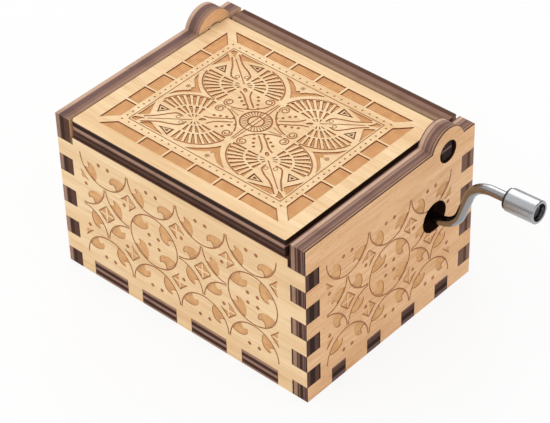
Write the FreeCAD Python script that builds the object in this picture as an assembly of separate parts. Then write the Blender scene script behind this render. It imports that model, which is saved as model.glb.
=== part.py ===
import FreeCAD, Part
import math
import os

# Hand-cranked music box: a finger-jointed plywood case round a cylinder and comb movement.
# Millimetres. +Z is up, +X points out of the crank side and -Y is the front. The origin is the
# centre of the case's footprint, on the surface that the box stands on.

Vec = FreeCAD.Vector
X_AXIS = Vec(1, 0, 0)
Y_AXIS = Vec(0, 1, 0)
Z_AXIS = Vec(0, 0, 1)
TINY = 0.001  # how far a cutting tool runs past a face, so that the cut is clean

# ---------------------------------------------------------------- driving dimensions

# Case
case_length = 65.0
case_depth = 50.0
case_height = 38.0
ply = 3.8
corner_finger_count = 7
plain_top_height = 5.85  # stretch without joints at the top of each corner
front_tongue_gap = 0.5
back_tongue_gap = 0.8
long_tab_count = 4
long_tab_width = 9.35
long_tab_margin = 3.8
short_tab_count = 4
short_tab_width = 4.0
short_tab_margin = 3.4

# Lid and its hinge
lid_left_gap = 0.25
lid_right_gap = 1.1
lid_front_setback = 0.2
lid_seat_gap = 0.3
lid_left_corner_radius = 1.0
lid_right_corner_radius = 0.4
hinge_from_back_wall = 4.5
lid_swing_clearance = 0.25
hinge_tab_width = 2.9
hinge_clearance = 0.06
hinge_tab_recess = 0.3
ear_wall = 2.5
ear_rise = 0.5  # how far the ear's arc centre lies above the hinge line

# Drive: worm and wheel
gear_module = 0.5
wheel_teeth = 26
pressure_angle = 20.0
tooth_thinning = 0.10
tooth_root_clearance = 0.125
worm_wall = 0.525  # metal between the rod and the root of the thread
wheel_width = 2.6
wheel_hub_radius = 3.0
worm_thread_length = 9.0
worm_hub_wall = 0.7
worm_end_play = 0.15
thread_sink = 0.1  # how far the thread starts below the worm's root
flank_points = 4

# Cylinder
drum_radius = 6.2
drum_wall = 0.7
drum_end_margin = 1.35
pin_radius = 0.2
pin_height = 0.8
note_pitch = 1.06
beat_count = 36
beat_margin_angle = 24.0  # blank stretch of the drum, where the tune starts again
beats_per_bar = 4
harmony_notes = 7
answer_notes = 11
bass_notes = 5
drum_worm_gap = 0.3
cap_thickness = 1.2
cap_hub_radius = 2.2
cap_hub_length = 0.6
arbor_radius = 1.2
journal_radius = 0.8
journal_overhang = 0.5
arbor_end_play = 0.08

# Comb
comb_root = 8.5
comb_side_margin = 0.46
comb_thickness = 2.0
tooth_thickness = 0.9
tooth_slot = 0.3
tooth_tip_width = 0.46
tooth_tip_length = 1.2
longest_tooth = 16.0
shortest_tooth = 9.0
tooth_relief_setback = 1.2
comb_tip_gap = 0.1
weighted_teeth = 8
weight_length = 3.4
weight_length_step = 0.25
weight_height = 1.5
weight_tip_setback = 0.9
weight_side_inset = 0.05

# Bed
bed_thickness = 2.0
wheel_ground_gap = 0.6
movement_back_gap = 0.7
movement_front_gap = 4.0
bed_front_margin = 0.4
bed_left_margin = 1.9
bed_right_margin = 3.0
bed_corner_radius = 1.5
rail_setback = 0.3
rail_side_margin = 0.6
boss_radius = 2.4
boss_height = 1.8
cylinder_offset = 11.0  # cylinder's axis to the right of the case's centre

# Brackets, in bent sheet
sheet = 1.4
bend_radius = 0.5
front_bracket_gap = 1.0
front_bracket_half_width = 4.6
front_bracket_shoulder = 2.3
front_foot_margin = 0.4
front_bracket_foot_half_width = 6.6
crank_foot_margin = 0.05
crank_foot_screw_inset = 2.5
worm_plate_gap = 0.5
ear_wheel_gap = 1.0
ear_plate_below = 4.2
ear_plate_above = 3.4
ear_plate_front = 3.3

# Bushes
bush_clearance = 0.04
bush_wall = 0.8
bush_flange_width = 0.55
bush_flange_thickness = 0.4
bush_seat_clearance = 0.01

# Fasteners
small_screw_radius = 0.75
small_head_radius = 1.15
small_head_height = 0.8
comb_screw_radius = 0.95
comb_head_radius = 1.9
comb_head_height = 1.1
comb_screw_edge = 3.0
comb_screw_grip = 5.0
comb_hole_play = 0.2
mount_screw_radius = 1.25
mount_head_radius = 2.4
mount_head_cone = 1.15
mount_screw_inset = 3.2
mount_screw_short = 0.4  # how far the screw's end stays below the top of its boss
thread_clearance = 0.02
slot_width = 0.5
slot_depth = 0.5

# Crank
rod_radius = 1.05
crank_radius = 13.4
crank_standoff = 5.0  # outer face of the case to the first bend's corner
crank_lean = 4.5  # how far the arm leans outwards over its height
crank_bend_radius = 6.0
handle_tilt = 3.0
handle_run = 8.2  # second bend's corner to the back of the knob
crank_hole_radius = 3.5
rod_tail = 1.8  # rod beyond the inner bush
clip_thickness = 0.6
clip_width = 0.85
clip_groove_depth = 0.3
clip_mouth_angle = 80.0
clip_setback = 0.5

# Knob
knob_wall = 0.57
knob_length = 6.7
knob_bore_clearance = 0.05
knob_recess_play = 0.18
knob_recess_depth = 1.0
knob_edge = 0.15
knob_end_play = 0.06
end_washer_rim = 0.25
end_washer_thickness = 0.5
rivet_overhang = 0.35
rivet_height = 0.3
back_washer_inset = 0.25  # how far the back washer's rim lies inside the knob's
back_washer_thickness = 0.4
washer_clearance = 0.01

# ---------------------------------------------------------------- places worked out

half_length = case_length / 2
half_depth = case_depth / 2
inner_x = half_length - ply
inner_y = half_depth - ply
floor_top = ply

joint_top = case_height - plain_top_height
finger_height = (joint_top - floor_top) / corner_finger_count
front_wall_top = case_height - ply - lid_seat_gap

hinge_y = inner_y - hinge_from_back_wall
hinge_z = case_height - ply / 2
hinge_hole_radius = math.hypot(ply / 2, hinge_tab_width / 2) + hinge_clearance
ear_radius = hinge_hole_radius + ear_wall
lid_rear_reach = math.sqrt((hinge_from_back_wall - lid_swing_clearance) ** 2 - (ply / 2) ** 2)

wheel_pitch_radius = gear_module * wheel_teeth / 2
wheel_tip_radius = wheel_pitch_radius + gear_module
wheel_root_radius = wheel_pitch_radius - gear_module - tooth_root_clearance
worm_lead = math.pi * gear_module
worm_root_radius = rod_radius + worm_wall
worm_pitch_radius = worm_root_radius + gear_module + tooth_root_clearance
worm_tip_radius = worm_pitch_radius + gear_module
worm_hub_radius = rod_radius + worm_hub_wall
centre_distance = wheel_pitch_radius + worm_pitch_radius
lead_angle = math.atan(worm_lead / (2 * math.pi * worm_pitch_radius))
tooth_width_at_pitch = math.pi * gear_module / 2 - tooth_thinning

bed_top = floor_top + bed_thickness
bed_back = inner_y - movement_back_gap
cylinder_x = cylinder_offset
pin_circle = drum_radius + pin_height
cylinder_z = bed_top + wheel_ground_gap + max(wheel_tip_radius, pin_circle)
crank_z = cylinder_z + centre_distance

crank_bracket_foot = bend_radius + 2 * (small_head_radius + crank_foot_margin)
crank_plate_back = bed_back - crank_bracket_foot
crank_plate_front = crank_plate_back - sheet
crank_y = crank_plate_front - worm_plate_gap - worm_tip_radius
wheel_back = crank_y + wheel_width / 2
wheel_front = crank_y - wheel_width / 2
drum_back = crank_y - worm_tip_radius - drum_worm_gap

bed_front = movement_front_gap - inner_y
front_bracket_foot = bend_radius + 2 * (small_head_radius + front_foot_margin)
front_plate_front = bed_front + bed_front_margin + front_bracket_foot
front_plate_back = front_plate_front + sheet
drum_front = front_plate_back + front_bracket_gap
drum_middle = (drum_back + drum_front) / 2
note_count = 1 + math.floor((drum_back - drum_front - 2 * drum_end_margin) / note_pitch)

comb_length = comb_root + longest_tooth
comb_tip_x = cylinder_x - pin_circle - comb_tip_gap
comb_back_x = comb_tip_x - comb_length
tooth_bottom = cylinder_z
comb_top = tooth_bottom + tooth_thickness
comb_bottom = comb_top - comb_thickness
comb_half_width = note_count * note_pitch / 2 + comb_side_margin
comb_screw_x = comb_back_x + comb_root / 2

bed_left = comb_back_x - bed_left_margin
ear_plate_inset = wheel_tip_radius + ear_wheel_gap
ear_plate_outer = ear_plate_inset + sheet
bed_right = cylinder_x + ear_plate_outer + bed_right_margin
ear_plate_bottom = crank_z - ear_plate_below
ear_plate_top = crank_z + ear_plate_above

arbor_bush_radius = journal_radius + bush_clearance + bush_wall
crank_bush_radius = rod_radius + bush_clearance + bush_wall

first_bend_x = half_length + crank_standoff
second_bend_x = first_bend_x + crank_lean
second_bend_z = crank_z + crank_radius
tilt = math.radians(handle_tilt)
handle_direction = Vec(math.cos(tilt), 0, math.sin(tilt))
clip_radius = rod_radius + clip_width
rivet_radius = rod_radius + rivet_overhang
end_washer_radius = rivet_radius + end_washer_rim
knob_recess_radius = end_washer_radius + knob_recess_play
knob_radius = knob_recess_radius + knob_wall
back_washer_radius = knob_radius - back_washer_inset


# ---------------------------------------------------------------- helpers

def block(x_low, x_high, y_low, y_high, z_low, z_high):
    """A box between two corners."""
    return Part.makeBox(x_high - x_low, y_high - y_low, z_high - z_low, Vec(x_low, y_low, z_low))


def round_bar(radius, start, end):
    """A cylinder from one point to another."""
    along = end - start
    return Part.makeCylinder(radius, along.Length, start, along)


def tube(outer, inner, start, end):
    """A hollow cylinder from one point to another."""
    along = end - start
    over = Vec(along).normalize() * TINY
    return round_bar(outer, start, end).cut(round_bar(inner, start - over, end + over))


def joined(shapes):
    """One solid out of several that touch or overlap."""
    return shapes[0].multiFuse(shapes[1:]).removeSplitter()


def spaced(count, first, last):
    """Evenly spaced values from first to last."""
    step = (last - first) / (count - 1)
    return [first + step * index for index in range(count)]


def profile_solid(points, direction):
    """A closed outline of straight edges, extruded along a direction."""
    return Part.Face(Part.makePolygon(points + [points[0]])).extrude(direction)


def slotted_head(radius, height, seat, up):
    """A cheese head whose underside sits at a point, with a screwdriver slot across it."""
    top = seat + up * height
    head = round_bar(radius, seat, top)
    slot = block(-radius - TINY, radius + TINY, -slot_width / 2, slot_width / 2, -slot_depth, TINY)
    slot.Placement = FreeCAD.Placement(top, FreeCAD.Rotation(Z_AXIS, up))
    return head.cut(slot)


# ---------------------------------------------------------------- case

def tab_centres(inner_half, count, width, margin):
    """Middles of the floor's tabs along one side."""
    reach = inner_half - margin - width / 2
    return spaced(count, -reach, reach)


def mount_screw_places():
    """The three screws that hold the bed to the floor."""
    left = bed_left + mount_screw_inset
    right = bed_right - mount_screw_inset
    return [(left, bed_front + mount_screw_inset), (left, bed_back - mount_screw_inset), (right, drum_middle)]


def mount_screw(x, y, play):
    """A countersunk screw standing head down, grown all round by a play."""
    top = bed_top + boss_height - mount_screw_short
    cone = Part.makeCone(mount_head_radius + play, mount_screw_radius + play, mount_head_cone)
    cone.translate(Vec(x, y, 0))
    return joined([cone, round_bar(mount_screw_radius + play, Vec(x, y, 0), Vec(x, y, top))])


def bottom_plate():
    """The floor, with tabs that reach the outer faces of all four walls."""
    parts = [block(-inner_x, inner_x, -inner_y, inner_y, 0, floor_top)]
    for x in tab_centres(inner_x, long_tab_count, long_tab_width, long_tab_margin):
        half = long_tab_width / 2
        parts.append(block(x - half, x + half, -half_depth, half_depth, 0, floor_top))
    for y in tab_centres(inner_y, short_tab_count, short_tab_width, short_tab_margin):
        half = short_tab_width / 2
        parts.append(block(-half_length, half_length, y - half, y + half, 0, floor_top))
    plate = joined(parts)
    for x, y in mount_screw_places():
        plate = plate.cut(mount_screw(x, y, thread_clearance))
    return plate


def end_wall(y_low, y_high, top, tongue_gap, floor):
    """The front or back wall, with fingers through the side walls."""
    parts = [block(-inner_x, inner_x, y_low, y_high, 0, joint_top)]
    tongue = inner_x - tongue_gap
    parts.append(block(-tongue, tongue, y_low, y_high, joint_top, top))
    for level in range(0, corner_finger_count, 2):
        low = floor_top + level * finger_height
        parts.append(block(-half_length, half_length, y_low, y_high, low, low + finger_height))
    return joined(parts).cut(floor)


def side_wall(x_low, x_high, neighbours):
    """A side wall with its hinge ear, cut where the other panels' fingers pass through."""
    sheet_blank = block(x_low, x_high, -half_depth, half_depth, 0, case_height)
    ear_z = hinge_z + ear_rise
    ear = round_bar(ear_radius, Vec(x_low, hinge_y, ear_z), Vec(x_high, hinge_y, ear_z))
    wall = joined([sheet_blank, ear]).cut(neighbours)
    hole_start = Vec(x_low - TINY, hinge_y, hinge_z)
    hole_end = Vec(x_high + TINY, hinge_y, hinge_z)
    return wall.cut(round_bar(hinge_hole_radius, hole_start, hole_end))


def crank_hole():
    """The round hole for the crank in the right wall."""
    start = Vec(inner_x - TINY, crank_y, crank_z)
    end = Vec(half_length + TINY, crank_y, crank_z)
    return round_bar(crank_hole_radius, start, end)


def lid():
    """The lid panel with the two square tabs that it turns on."""
    left = -inner_x + lid_left_gap
    right = inner_x - lid_right_gap
    front = -half_depth + lid_front_setback
    panel = block(left, right, front, hinge_y + lid_rear_reach, case_height - ply, case_height)
    for side, radius in ((left, lid_left_corner_radius), (right, lid_right_corner_radius)):
        corner = Vec(side, front, case_height - ply / 2)
        upright = [edge for edge in panel.Edges if edge.CenterOfMass.isEqual(corner, TINY)]
        panel = panel.makeFillet(radius, upright)
    reach = half_length - hinge_tab_recess
    tab_half = hinge_tab_width / 2
    tabs = block(-reach, reach, hinge_y - tab_half, hinge_y + tab_half, case_height - ply, case_height)
    return joined([panel, tabs])


# ---------------------------------------------------------------- worm and wheel

def involute_point(base_radius, radius, start_angle, side):
    """A point on an involute flank, side 1 turning one way from start_angle and -1 the other."""
    roll = math.sqrt(max(0.0, (radius / base_radius) ** 2 - 1))
    angle = start_angle + side * (roll - math.atan(roll))
    return radius, angle


def wheel_outline(y, twist):
    """The wheel's closed tooth outline in the plane at y, turned by twist about the cylinder."""
    base_radius = wheel_pitch_radius * math.cos(math.radians(pressure_angle))
    pitch_roll = math.tan(math.radians(pressure_angle)) - math.radians(pressure_angle)
    half_tooth = tooth_width_at_pitch / (2 * wheel_pitch_radius) + pitch_roll
    flank_start = max(base_radius, wheel_root_radius)

    def at(radius, angle):
        turned = angle + twist
        x = cylinder_x + radius * math.sin(turned)
        z = cylinder_z + radius * math.cos(turned)
        return Vec(x, y, z)

    edges = []
    for tooth in range(wheel_teeth):
        centre = 2 * math.pi * tooth / wheel_teeth
        rising = []
        falling = []
        for radius in spaced(flank_points, flank_start, wheel_tip_radius):
            rising.append(at(*involute_point(base_radius, radius, centre - half_tooth, 1)))
            falling.append(at(*involute_point(base_radius, radius, centre + half_tooth, -1)))
        falling.reverse()
        root_in = at(wheel_root_radius, centre - half_tooth)
        root_out = at(wheel_root_radius, centre + half_tooth)
        next_root = at(wheel_root_radius, centre + 2 * math.pi / wheel_teeth - half_tooth)
        path = [root_in] + rising + falling + [root_out, next_root]
        for start, end in zip(path, path[1:]):
            edges.append(Part.LineSegment(start, end).toShape())
    return Part.Wire(edges)


def worm_wheel():
    """The wheel on the cylinder's arbor, its teeth slanted to follow the worm's thread."""
    half_twist = math.tan(lead_angle) * wheel_width / 2 / wheel_pitch_radius
    sections = [wheel_outline(wheel_front, -half_twist), wheel_outline(wheel_back, half_twist)]
    teeth = Part.makeLoft(sections, True, True)
    centre = Vec(cylinder_x, wheel_front, cylinder_z)
    hub_start = Vec(cylinder_x, drum_back + cap_hub_length, cylinder_z)
    hub = round_bar(wheel_hub_radius, hub_start, centre)
    bore_start = hub_start - Y_AXIS * TINY
    bore_end = Vec(cylinder_x, wheel_back + TINY, cylinder_z)
    bore = round_bar(arbor_radius + washer_clearance, bore_start, bore_end)
    return joined([teeth, hub]).cut(bore)


def worm_thread():
    """The worm's helical thread, with a space facing the wheel's tooth at the cylinder's axis."""
    sunk = worm_root_radius - thread_sink
    slope = math.tan(math.radians(pressure_angle))
    half_root = tooth_width_at_pitch / 2 + (worm_pitch_radius - sunk) * slope
    half_tip = tooth_width_at_pitch / 2 - gear_module * slope
    turns = math.ceil(worm_thread_length / worm_lead) + 2
    # the helix runs along +Z from its own start; the thread crosses its +X side at each lead
    profile = Part.makePolygon([
        Vec(sunk, 0, -half_root),
        Vec(worm_tip_radius, 0, -half_tip),
        Vec(worm_tip_radius, 0, half_tip),
        Vec(sunk, 0, half_root),
        Vec(sunk, 0, -half_root),
    ])
    helix = Part.makeHelix(worm_lead, turns * worm_lead, worm_pitch_radius)
    thread = Part.Wire(helix).makePipeShell([profile], True, True)
    # stand it along X with that side facing down, and centre it on a space
    thread.translate(Vec(0, 0, -(turns / 2) * worm_lead))
    thread.rotate(Vec(0, 0, 0), Y_AXIS, 90)
    half_lead = worm_lead / 2 if turns % 2 == 0 else 0
    thread.translate(Vec(cylinder_x + half_lead, crank_y, crank_z))
    return thread


def worm():
    """The single-start worm with plain hubs that run between the bracket's two ears."""
    centre = Vec(cylinder_x, crank_y, crank_z)
    half_thread = worm_thread_length / 2
    half_hub = ear_plate_inset - worm_end_play
    left = centre - X_AXIS * half_thread
    right = centre + X_AXIS * half_thread
    parts = [
        worm_thread().common(round_bar(worm_tip_radius + gear_module, left, right)),
        round_bar(worm_root_radius, left, right),
        round_bar(worm_hub_radius, centre - X_AXIS * half_hub, left),
        round_bar(worm_hub_radius, right, centre + X_AXIS * half_hub),
    ]
    body = joined(parts)
    bore_start = centre - X_AXIS * (half_hub + TINY)
    bore_end = centre + X_AXIS * (half_hub + TINY)
    return body.cut(round_bar(rod_radius + washer_clearance, bore_start, bore_end))


# ---------------------------------------------------------------- cylinder

def note_centres():
    """Middles of the comb's teeth and of the drum's tracks, along Y."""
    reach = (note_count - 1) * note_pitch / 2
    return spaced(note_count, drum_middle - reach, drum_middle + reach)


def melody():
    """(note, beat) pairs of a plain rising and falling exercise with a bass note to each bar."""
    pairs = set()
    top_note = note_count - 1
    for beat in range(beat_count):
        climb = beat % (2 * top_note)
        note = min(climb, 2 * top_note - climb)
        pairs.add((note, beat))
        if beat % (beats_per_bar // 2) == 0:
            pairs.add(((note + harmony_notes) % note_count, beat))
        if beat % beats_per_bar == 0:
            pairs.add(((beat // beats_per_bar) % bass_notes, beat))
            pairs.add(((note + answer_notes) % note_count, beat))
    return sorted(pairs)


def melody_pins():
    """Steel pins that pass through the drum's wall and stand out of it."""
    tracks = note_centres()
    step = (360 - beat_margin_angle) / beat_count
    first_angle = beat_margin_angle / 2 + step / 2
    inside = drum_radius - drum_wall
    pins = []
    for note, beat in melody():
        angle = math.radians(first_angle + beat * step - 90)
        outward = Vec(math.cos(angle), 0, math.sin(angle))
        foot = Vec(cylinder_x, tracks[note], cylinder_z) + outward * inside
        pins.append(round_bar(pin_radius, foot, foot + outward * (drum_wall + pin_height)))
    return Part.makeCompound(pins)


def drum(pins):
    """The drum's sleeve, drilled for its pins."""
    start = Vec(cylinder_x, drum_front, cylinder_z)
    end = Vec(cylinder_x, drum_back, cylinder_z)
    return tube(drum_radius, drum_radius - drum_wall, start, end).cut(pins)


def drum_cap(end_y, outward):
    """A disc inside one end of the drum, with a hub that stands out of it."""
    outside = Vec(cylinder_x, end_y, cylinder_z)
    inside = outside - outward * cap_thickness
    hub_end = outside + outward * cap_hub_length
    disc = round_bar(drum_radius - drum_wall - washer_clearance, inside, outside)
    hub = round_bar(cap_hub_radius, outside, hub_end)
    bore = round_bar(arbor_radius + washer_clearance, inside - outward * TINY, hub_end + outward * TINY)
    return joined([disc, hub]).cut(bore)


def cylinder_arbor():
    """The cylinder's shaft, stepped down to a journal at each end."""
    front = front_plate_front - bush_flange_thickness - journal_overhang
    back = crank_plate_back + bush_flange_thickness + journal_overhang
    journals = round_bar(journal_radius, Vec(cylinder_x, front, cylinder_z), Vec(cylinder_x, back, cylinder_z))
    start = Vec(cylinder_x, front_plate_back + arbor_end_play, cylinder_z)
    end = Vec(cylinder_x, crank_plate_front - arbor_end_play, cylinder_z)
    return joined([journals, round_bar(arbor_radius, start, end)])


def flanged_bush(radius, bore, flange_face, outward, wall):
    """A bush through a sheet wall, with its flange on the outer face."""
    inner_end = flange_face - outward * wall
    outer_end = flange_face + outward * bush_flange_thickness
    body = round_bar(radius, inner_end, flange_face)
    flange = round_bar(radius + bush_flange_width, flange_face, outer_end)
    hole = round_bar(bore, inner_end - outward * TINY, outer_end + outward * TINY)
    return joined([body, flange]).cut(hole)


def arbor_bushes():
    """Bearings of the cylinder in the front and crank brackets."""
    bore = journal_radius + bush_clearance
    front_face = Vec(cylinder_x, front_plate_front, cylinder_z)
    back_face = Vec(cylinder_x, crank_plate_back, cylinder_z)
    front = flanged_bush(arbor_bush_radius, bore, front_face, -Y_AXIS, sheet)
    back = flanged_bush(arbor_bush_radius, bore, back_face, Y_AXIS, sheet)
    return Part.makeCompound([front, back])


def crank_bushes():
    """Bearings of the crank in the bracket's two ears."""
    bore = rod_radius + bush_clearance
    bushes = []
    for side in (-1, 1):
        face = Vec(cylinder_x + side * ear_plate_outer, crank_y, crank_z)
        bushes.append(flanged_bush(crank_bush_radius, bore, face, X_AXIS * side, sheet))
    return Part.makeCompound(bushes)


# ---------------------------------------------------------------- bed, brackets and screws

def foot_screw_places(edge_y, direction, foot, spread):
    """Middles of the two screws in a bracket's foot."""
    y = edge_y + direction * (foot + bend_radius) / 2
    return [(cylinder_x - spread, y), (cylinder_x + spread, y)]


def front_screw_places():
    """Screws in the front bracket's foot."""
    spread = front_bracket_foot_half_width - small_head_radius - bend_radius
    return foot_screw_places(front_plate_front, -1, front_bracket_foot, spread)


def crank_screw_places():
    """Screws in the crank bracket's foot."""
    spread = ear_plate_outer - crank_foot_screw_inset
    return foot_screw_places(crank_plate_back, 1, crank_bracket_foot, spread)


def small_screws(places):
    """Slotted screws through a bracket's foot into the bed."""
    screws = []
    for x, y in places:
        seat = Vec(x, y, bed_top + sheet)
        shank = round_bar(small_screw_radius, Vec(x, y, floor_top), seat)
        screws.append(joined([shank, slotted_head(small_head_radius, small_head_height, seat, Z_AXIS)]))
    return Part.makeCompound(screws)


def bent_foot(plate_y, foot_end_y, x_low, x_high):
    """The rounded inside of a sheet bend between an upright face and its foot, with the foot."""
    direction = 1 if foot_end_y > plate_y else -1
    foot = block(x_low, x_high, min(plate_y, foot_end_y), max(plate_y, foot_end_y), bed_top, bed_top + sheet)
    corner = Vec(x_low, plate_y, bed_top + sheet)
    web = profile_solid([
        corner,
        corner + Y_AXIS * direction * bend_radius,
        corner + Z_AXIS * bend_radius,
    ], X_AXIS * (x_high - x_low))
    return [foot, web]


def front_bracket():
    """An upright with a round head for the cylinder's front journal, and a foot to the front."""
    centre = Vec(cylinder_x, front_plate_front, cylinder_z)
    through = Y_AXIS * sheet
    low = cylinder_x - front_bracket_foot_half_width
    high = cylinder_x + front_bracket_foot_half_width
    half = front_bracket_half_width
    shoulder = bed_top + sheet + bend_radius + front_bracket_shoulder
    upright = profile_solid([
        Vec(low, front_plate_front, bed_top),
        Vec(high, front_plate_front, bed_top),
        Vec(high, front_plate_front, bed_top + sheet + bend_radius),
        Vec(cylinder_x + half, front_plate_front, shoulder),
        Vec(cylinder_x + half, front_plate_front, cylinder_z),
        Vec(cylinder_x - half, front_plate_front, cylinder_z),
        Vec(cylinder_x - half, front_plate_front, shoulder),
        Vec(low, front_plate_front, bed_top + sheet + bend_radius),
    ], through)
    head = round_bar(half, centre, centre + through)
    foot_end = front_plate_front - front_bracket_foot
    bracket = joined([upright, head] + bent_foot(front_plate_front, foot_end, low, high))
    seat = arbor_bush_radius + bush_seat_clearance
    bracket = bracket.cut(round_bar(seat, centre - Y_AXIS * TINY, centre + through + Y_AXIS * TINY))
    return drilled(bracket, front_screw_places())


def crank_bracket():
    """The rear bracket: the cylinder's rear bearing, and two ears forward for the crank."""
    low = cylinder_x - ear_plate_outer
    high = cylinder_x + ear_plate_outer
    plate = block(low, high, crank_plate_front, crank_plate_back, bed_top, ear_plate_top)
    parts = [plate] + bent_foot(crank_plate_back, bed_back, low, high)
    ear_front = crank_y - ear_plate_front
    for side in (-1, 1):
        inner = cylinder_x + side * ear_plate_inset
        outer = cylinder_x + side * ear_plate_outer
        x_low = min(inner, outer)
        x_high = max(inner, outer)
        parts.append(block(x_low, x_high, ear_front, crank_plate_front, ear_plate_bottom, ear_plate_top))
    bracket = joined(parts)
    over = X_AXIS * TINY
    crank_seat = crank_bush_radius + bush_seat_clearance
    left = Vec(low, crank_y, crank_z) - over
    right = Vec(high, crank_y, crank_z) + over
    bracket = bracket.cut(round_bar(crank_seat, left, right))
    arbor_seat = arbor_bush_radius + bush_seat_clearance
    front = Vec(cylinder_x, crank_plate_front - TINY, cylinder_z)
    back = Vec(cylinder_x, crank_plate_back + TINY, cylinder_z)
    bracket = bracket.cut(round_bar(arbor_seat, front, back))
    return drilled(bracket, crank_screw_places())


def drilled(shape, places):
    """A shape with the small screws' holes through it, from the floor up."""
    for x, y in places:
        hole = round_bar(small_screw_radius + thread_clearance, Vec(x, y, floor_top - TINY), Vec(x, y, crank_z))
        shape = shape.cut(hole)
    return shape


def comb_screw_places():
    """Middles of the comb's screws, along Y."""
    reach = comb_half_width - comb_screw_edge
    return [drum_middle - reach, drum_middle, drum_middle + reach]


def bedplate():
    """The cast bed: a plate with a rail for the comb and bosses for the screws from below."""
    plate = block(bed_left, bed_right, bed_front, bed_back, floor_top, bed_top)
    corners = [edge for edge in plate.Edges if abs(edge.tangentAt(0).z) > 1 - TINY]
    plate = plate.makeFillet(bed_corner_radius, corners)
    rail_half = comb_half_width + rail_side_margin
    rail = block(comb_back_x, comb_back_x + comb_root - rail_setback,
                 drum_middle - rail_half, drum_middle + rail_half, floor_top, comb_bottom)
    parts = [plate, rail]
    for x, y in mount_screw_places():
        parts.append(round_bar(boss_radius, Vec(x, y, floor_top), Vec(x, y, bed_top + boss_height)))
    bed = joined(parts)
    for x, y in mount_screw_places():
        bed = bed.cut(mount_screw(x, y, thread_clearance))
    for y in comb_screw_places():
        foot = Vec(comb_screw_x, y, comb_bottom - comb_screw_grip)
        bed = bed.cut(round_bar(comb_screw_radius + thread_clearance, foot, Vec(comb_screw_x, y, comb_top)))
    return drilled(bed, front_screw_places() + crank_screw_places())


def comb_screws():
    """Slotted screws that hold the comb to its rail."""
    screws = []
    for y in comb_screw_places():
        seat = Vec(comb_screw_x, y, comb_top)
        foot = Vec(comb_screw_x, y, comb_bottom - comb_screw_grip + thread_clearance)
        head = slotted_head(comb_head_radius, comb_head_height, seat, Z_AXIS)
        screws.append(joined([round_bar(comb_screw_radius, foot, seat), head]))
    return Part.makeCompound(screws)


def mounting_screws():
    """Countersunk screws up through the floor into the bed's bosses."""
    screws = []
    for x, y in mount_screw_places():
        slot = block(x - mount_head_radius, x + mount_head_radius, y - slot_width / 2, y + slot_width / 2,
                     -TINY, slot_depth)
        screws.append(mount_screw(x, y, 0).cut(slot))
    return Part.makeCompound(screws)


# ---------------------------------------------------------------- comb

def tooth_lengths():
    """Free length of each tooth, from the bass at the front to the treble at the back."""
    ratio = shortest_tooth / longest_tooth
    return [longest_tooth * ratio ** (note / (note_count - 1)) for note in range(note_count)]


def comb():
    """The steel comb: a thick root screwed to the rail and thin teeth up to the pins."""
    centres = note_centres()
    lengths = tooth_lengths()
    low = drum_middle - comb_half_width
    high = drum_middle + comb_half_width
    plate = block(comb_back_x, comb_tip_x, low, high, comb_bottom, comb_top)
    cutters = []
    for centre, length in zip(centres, lengths):
        start = comb_tip_x - length + tooth_relief_setback
        y_low = low - TINY if centre == centres[0] else centre - note_pitch / 2
        y_high = high + TINY if centre == centres[-1] else centre + note_pitch / 2
        cutters.append(block(start, comb_tip_x + TINY, y_low, y_high, comb_bottom - TINY, tooth_bottom))
    for note in range(note_count + 1):
        y = centres[0] + (note - 0.5) * note_pitch
        length = lengths[min(note, note_count - 1)]
        y_low = low - TINY if note == 0 else y - tooth_slot / 2
        y_high = high + TINY if note == note_count else y + tooth_slot / 2
        cutters.append(block(comb_tip_x - length, comb_tip_x + TINY, y_low, y_high,
                             comb_bottom - TINY, comb_top + TINY))
        tip_start = comb_tip_x - tooth_tip_length
        tip_slot = (note_pitch - tooth_tip_width) / 2
        cutters.append(block(tip_start, comb_tip_x + TINY, y - tip_slot, y + tip_slot,
                             comb_bottom - TINY, comb_top + TINY))
    plate = plate.cut(cutters)
    for y in comb_screw_places():
        start = Vec(comb_screw_x, y, comb_bottom - TINY)
        end = Vec(comb_screw_x, y, comb_top + TINY)
        plate = plate.cut(round_bar(comb_screw_radius + comb_hole_play, start, end))
    return plate


def tuning_weights():
    """Lead weights soldered under the longest teeth, longest on the lowest note."""
    weights = []
    half = (note_pitch - tooth_slot) / 2 - weight_side_inset
    for index, y in enumerate(note_centres()[:weighted_teeth]):
        length = weight_length - index * weight_length_step
        end = comb_tip_x - weight_tip_setback
        weights.append(block(end - length, end, y - half, y + half, tooth_bottom - weight_height, tooth_bottom))
    return Part.makeCompound(weights)


# ---------------------------------------------------------------- crank and knob

def bent_path(points, radius):
    """A wire through points in the XZ plane at the crank, with a tangent arc at each bend."""
    edges = []
    start = points[0]
    for before, corner, after in zip(points, points[1:], points[2:]):
        inward = Vec(before - corner).normalize()
        outward = Vec(after - corner).normalize()
        half_angle = inward.getAngle(outward) / 2
        cut_back = radius / math.tan(half_angle)
        arc_start = corner + inward * cut_back
        arc_end = corner + outward * cut_back
        bisector = Vec(inward + outward).normalize()
        middle = corner + bisector * (radius / math.sin(half_angle) - radius)
        edges.append(Part.LineSegment(start, arc_start).toShape())
        edges.append(Part.Arc(arc_start, middle, arc_end).toShape())
        start = arc_end
    edges.append(Part.LineSegment(start, points[-1]).toShape())
    return Part.Wire(edges)


inner_rod_end = Vec(cylinder_x - ear_plate_outer - bush_flange_thickness - rod_tail, crank_y, crank_z)
first_bend = Vec(first_bend_x, crank_y, crank_z)
second_bend = Vec(second_bend_x, crank_y, second_bend_z)
knob_back = second_bend + handle_direction * handle_run
knob_front = knob_back + handle_direction * knob_length
rivet_face = knob_front - handle_direction * knob_recess_depth
end_washer_face = rivet_face - handle_direction * rivet_height
end_washer_back = end_washer_face - handle_direction * end_washer_thickness
clip_back_x = inner_rod_end.x + clip_setback


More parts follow.
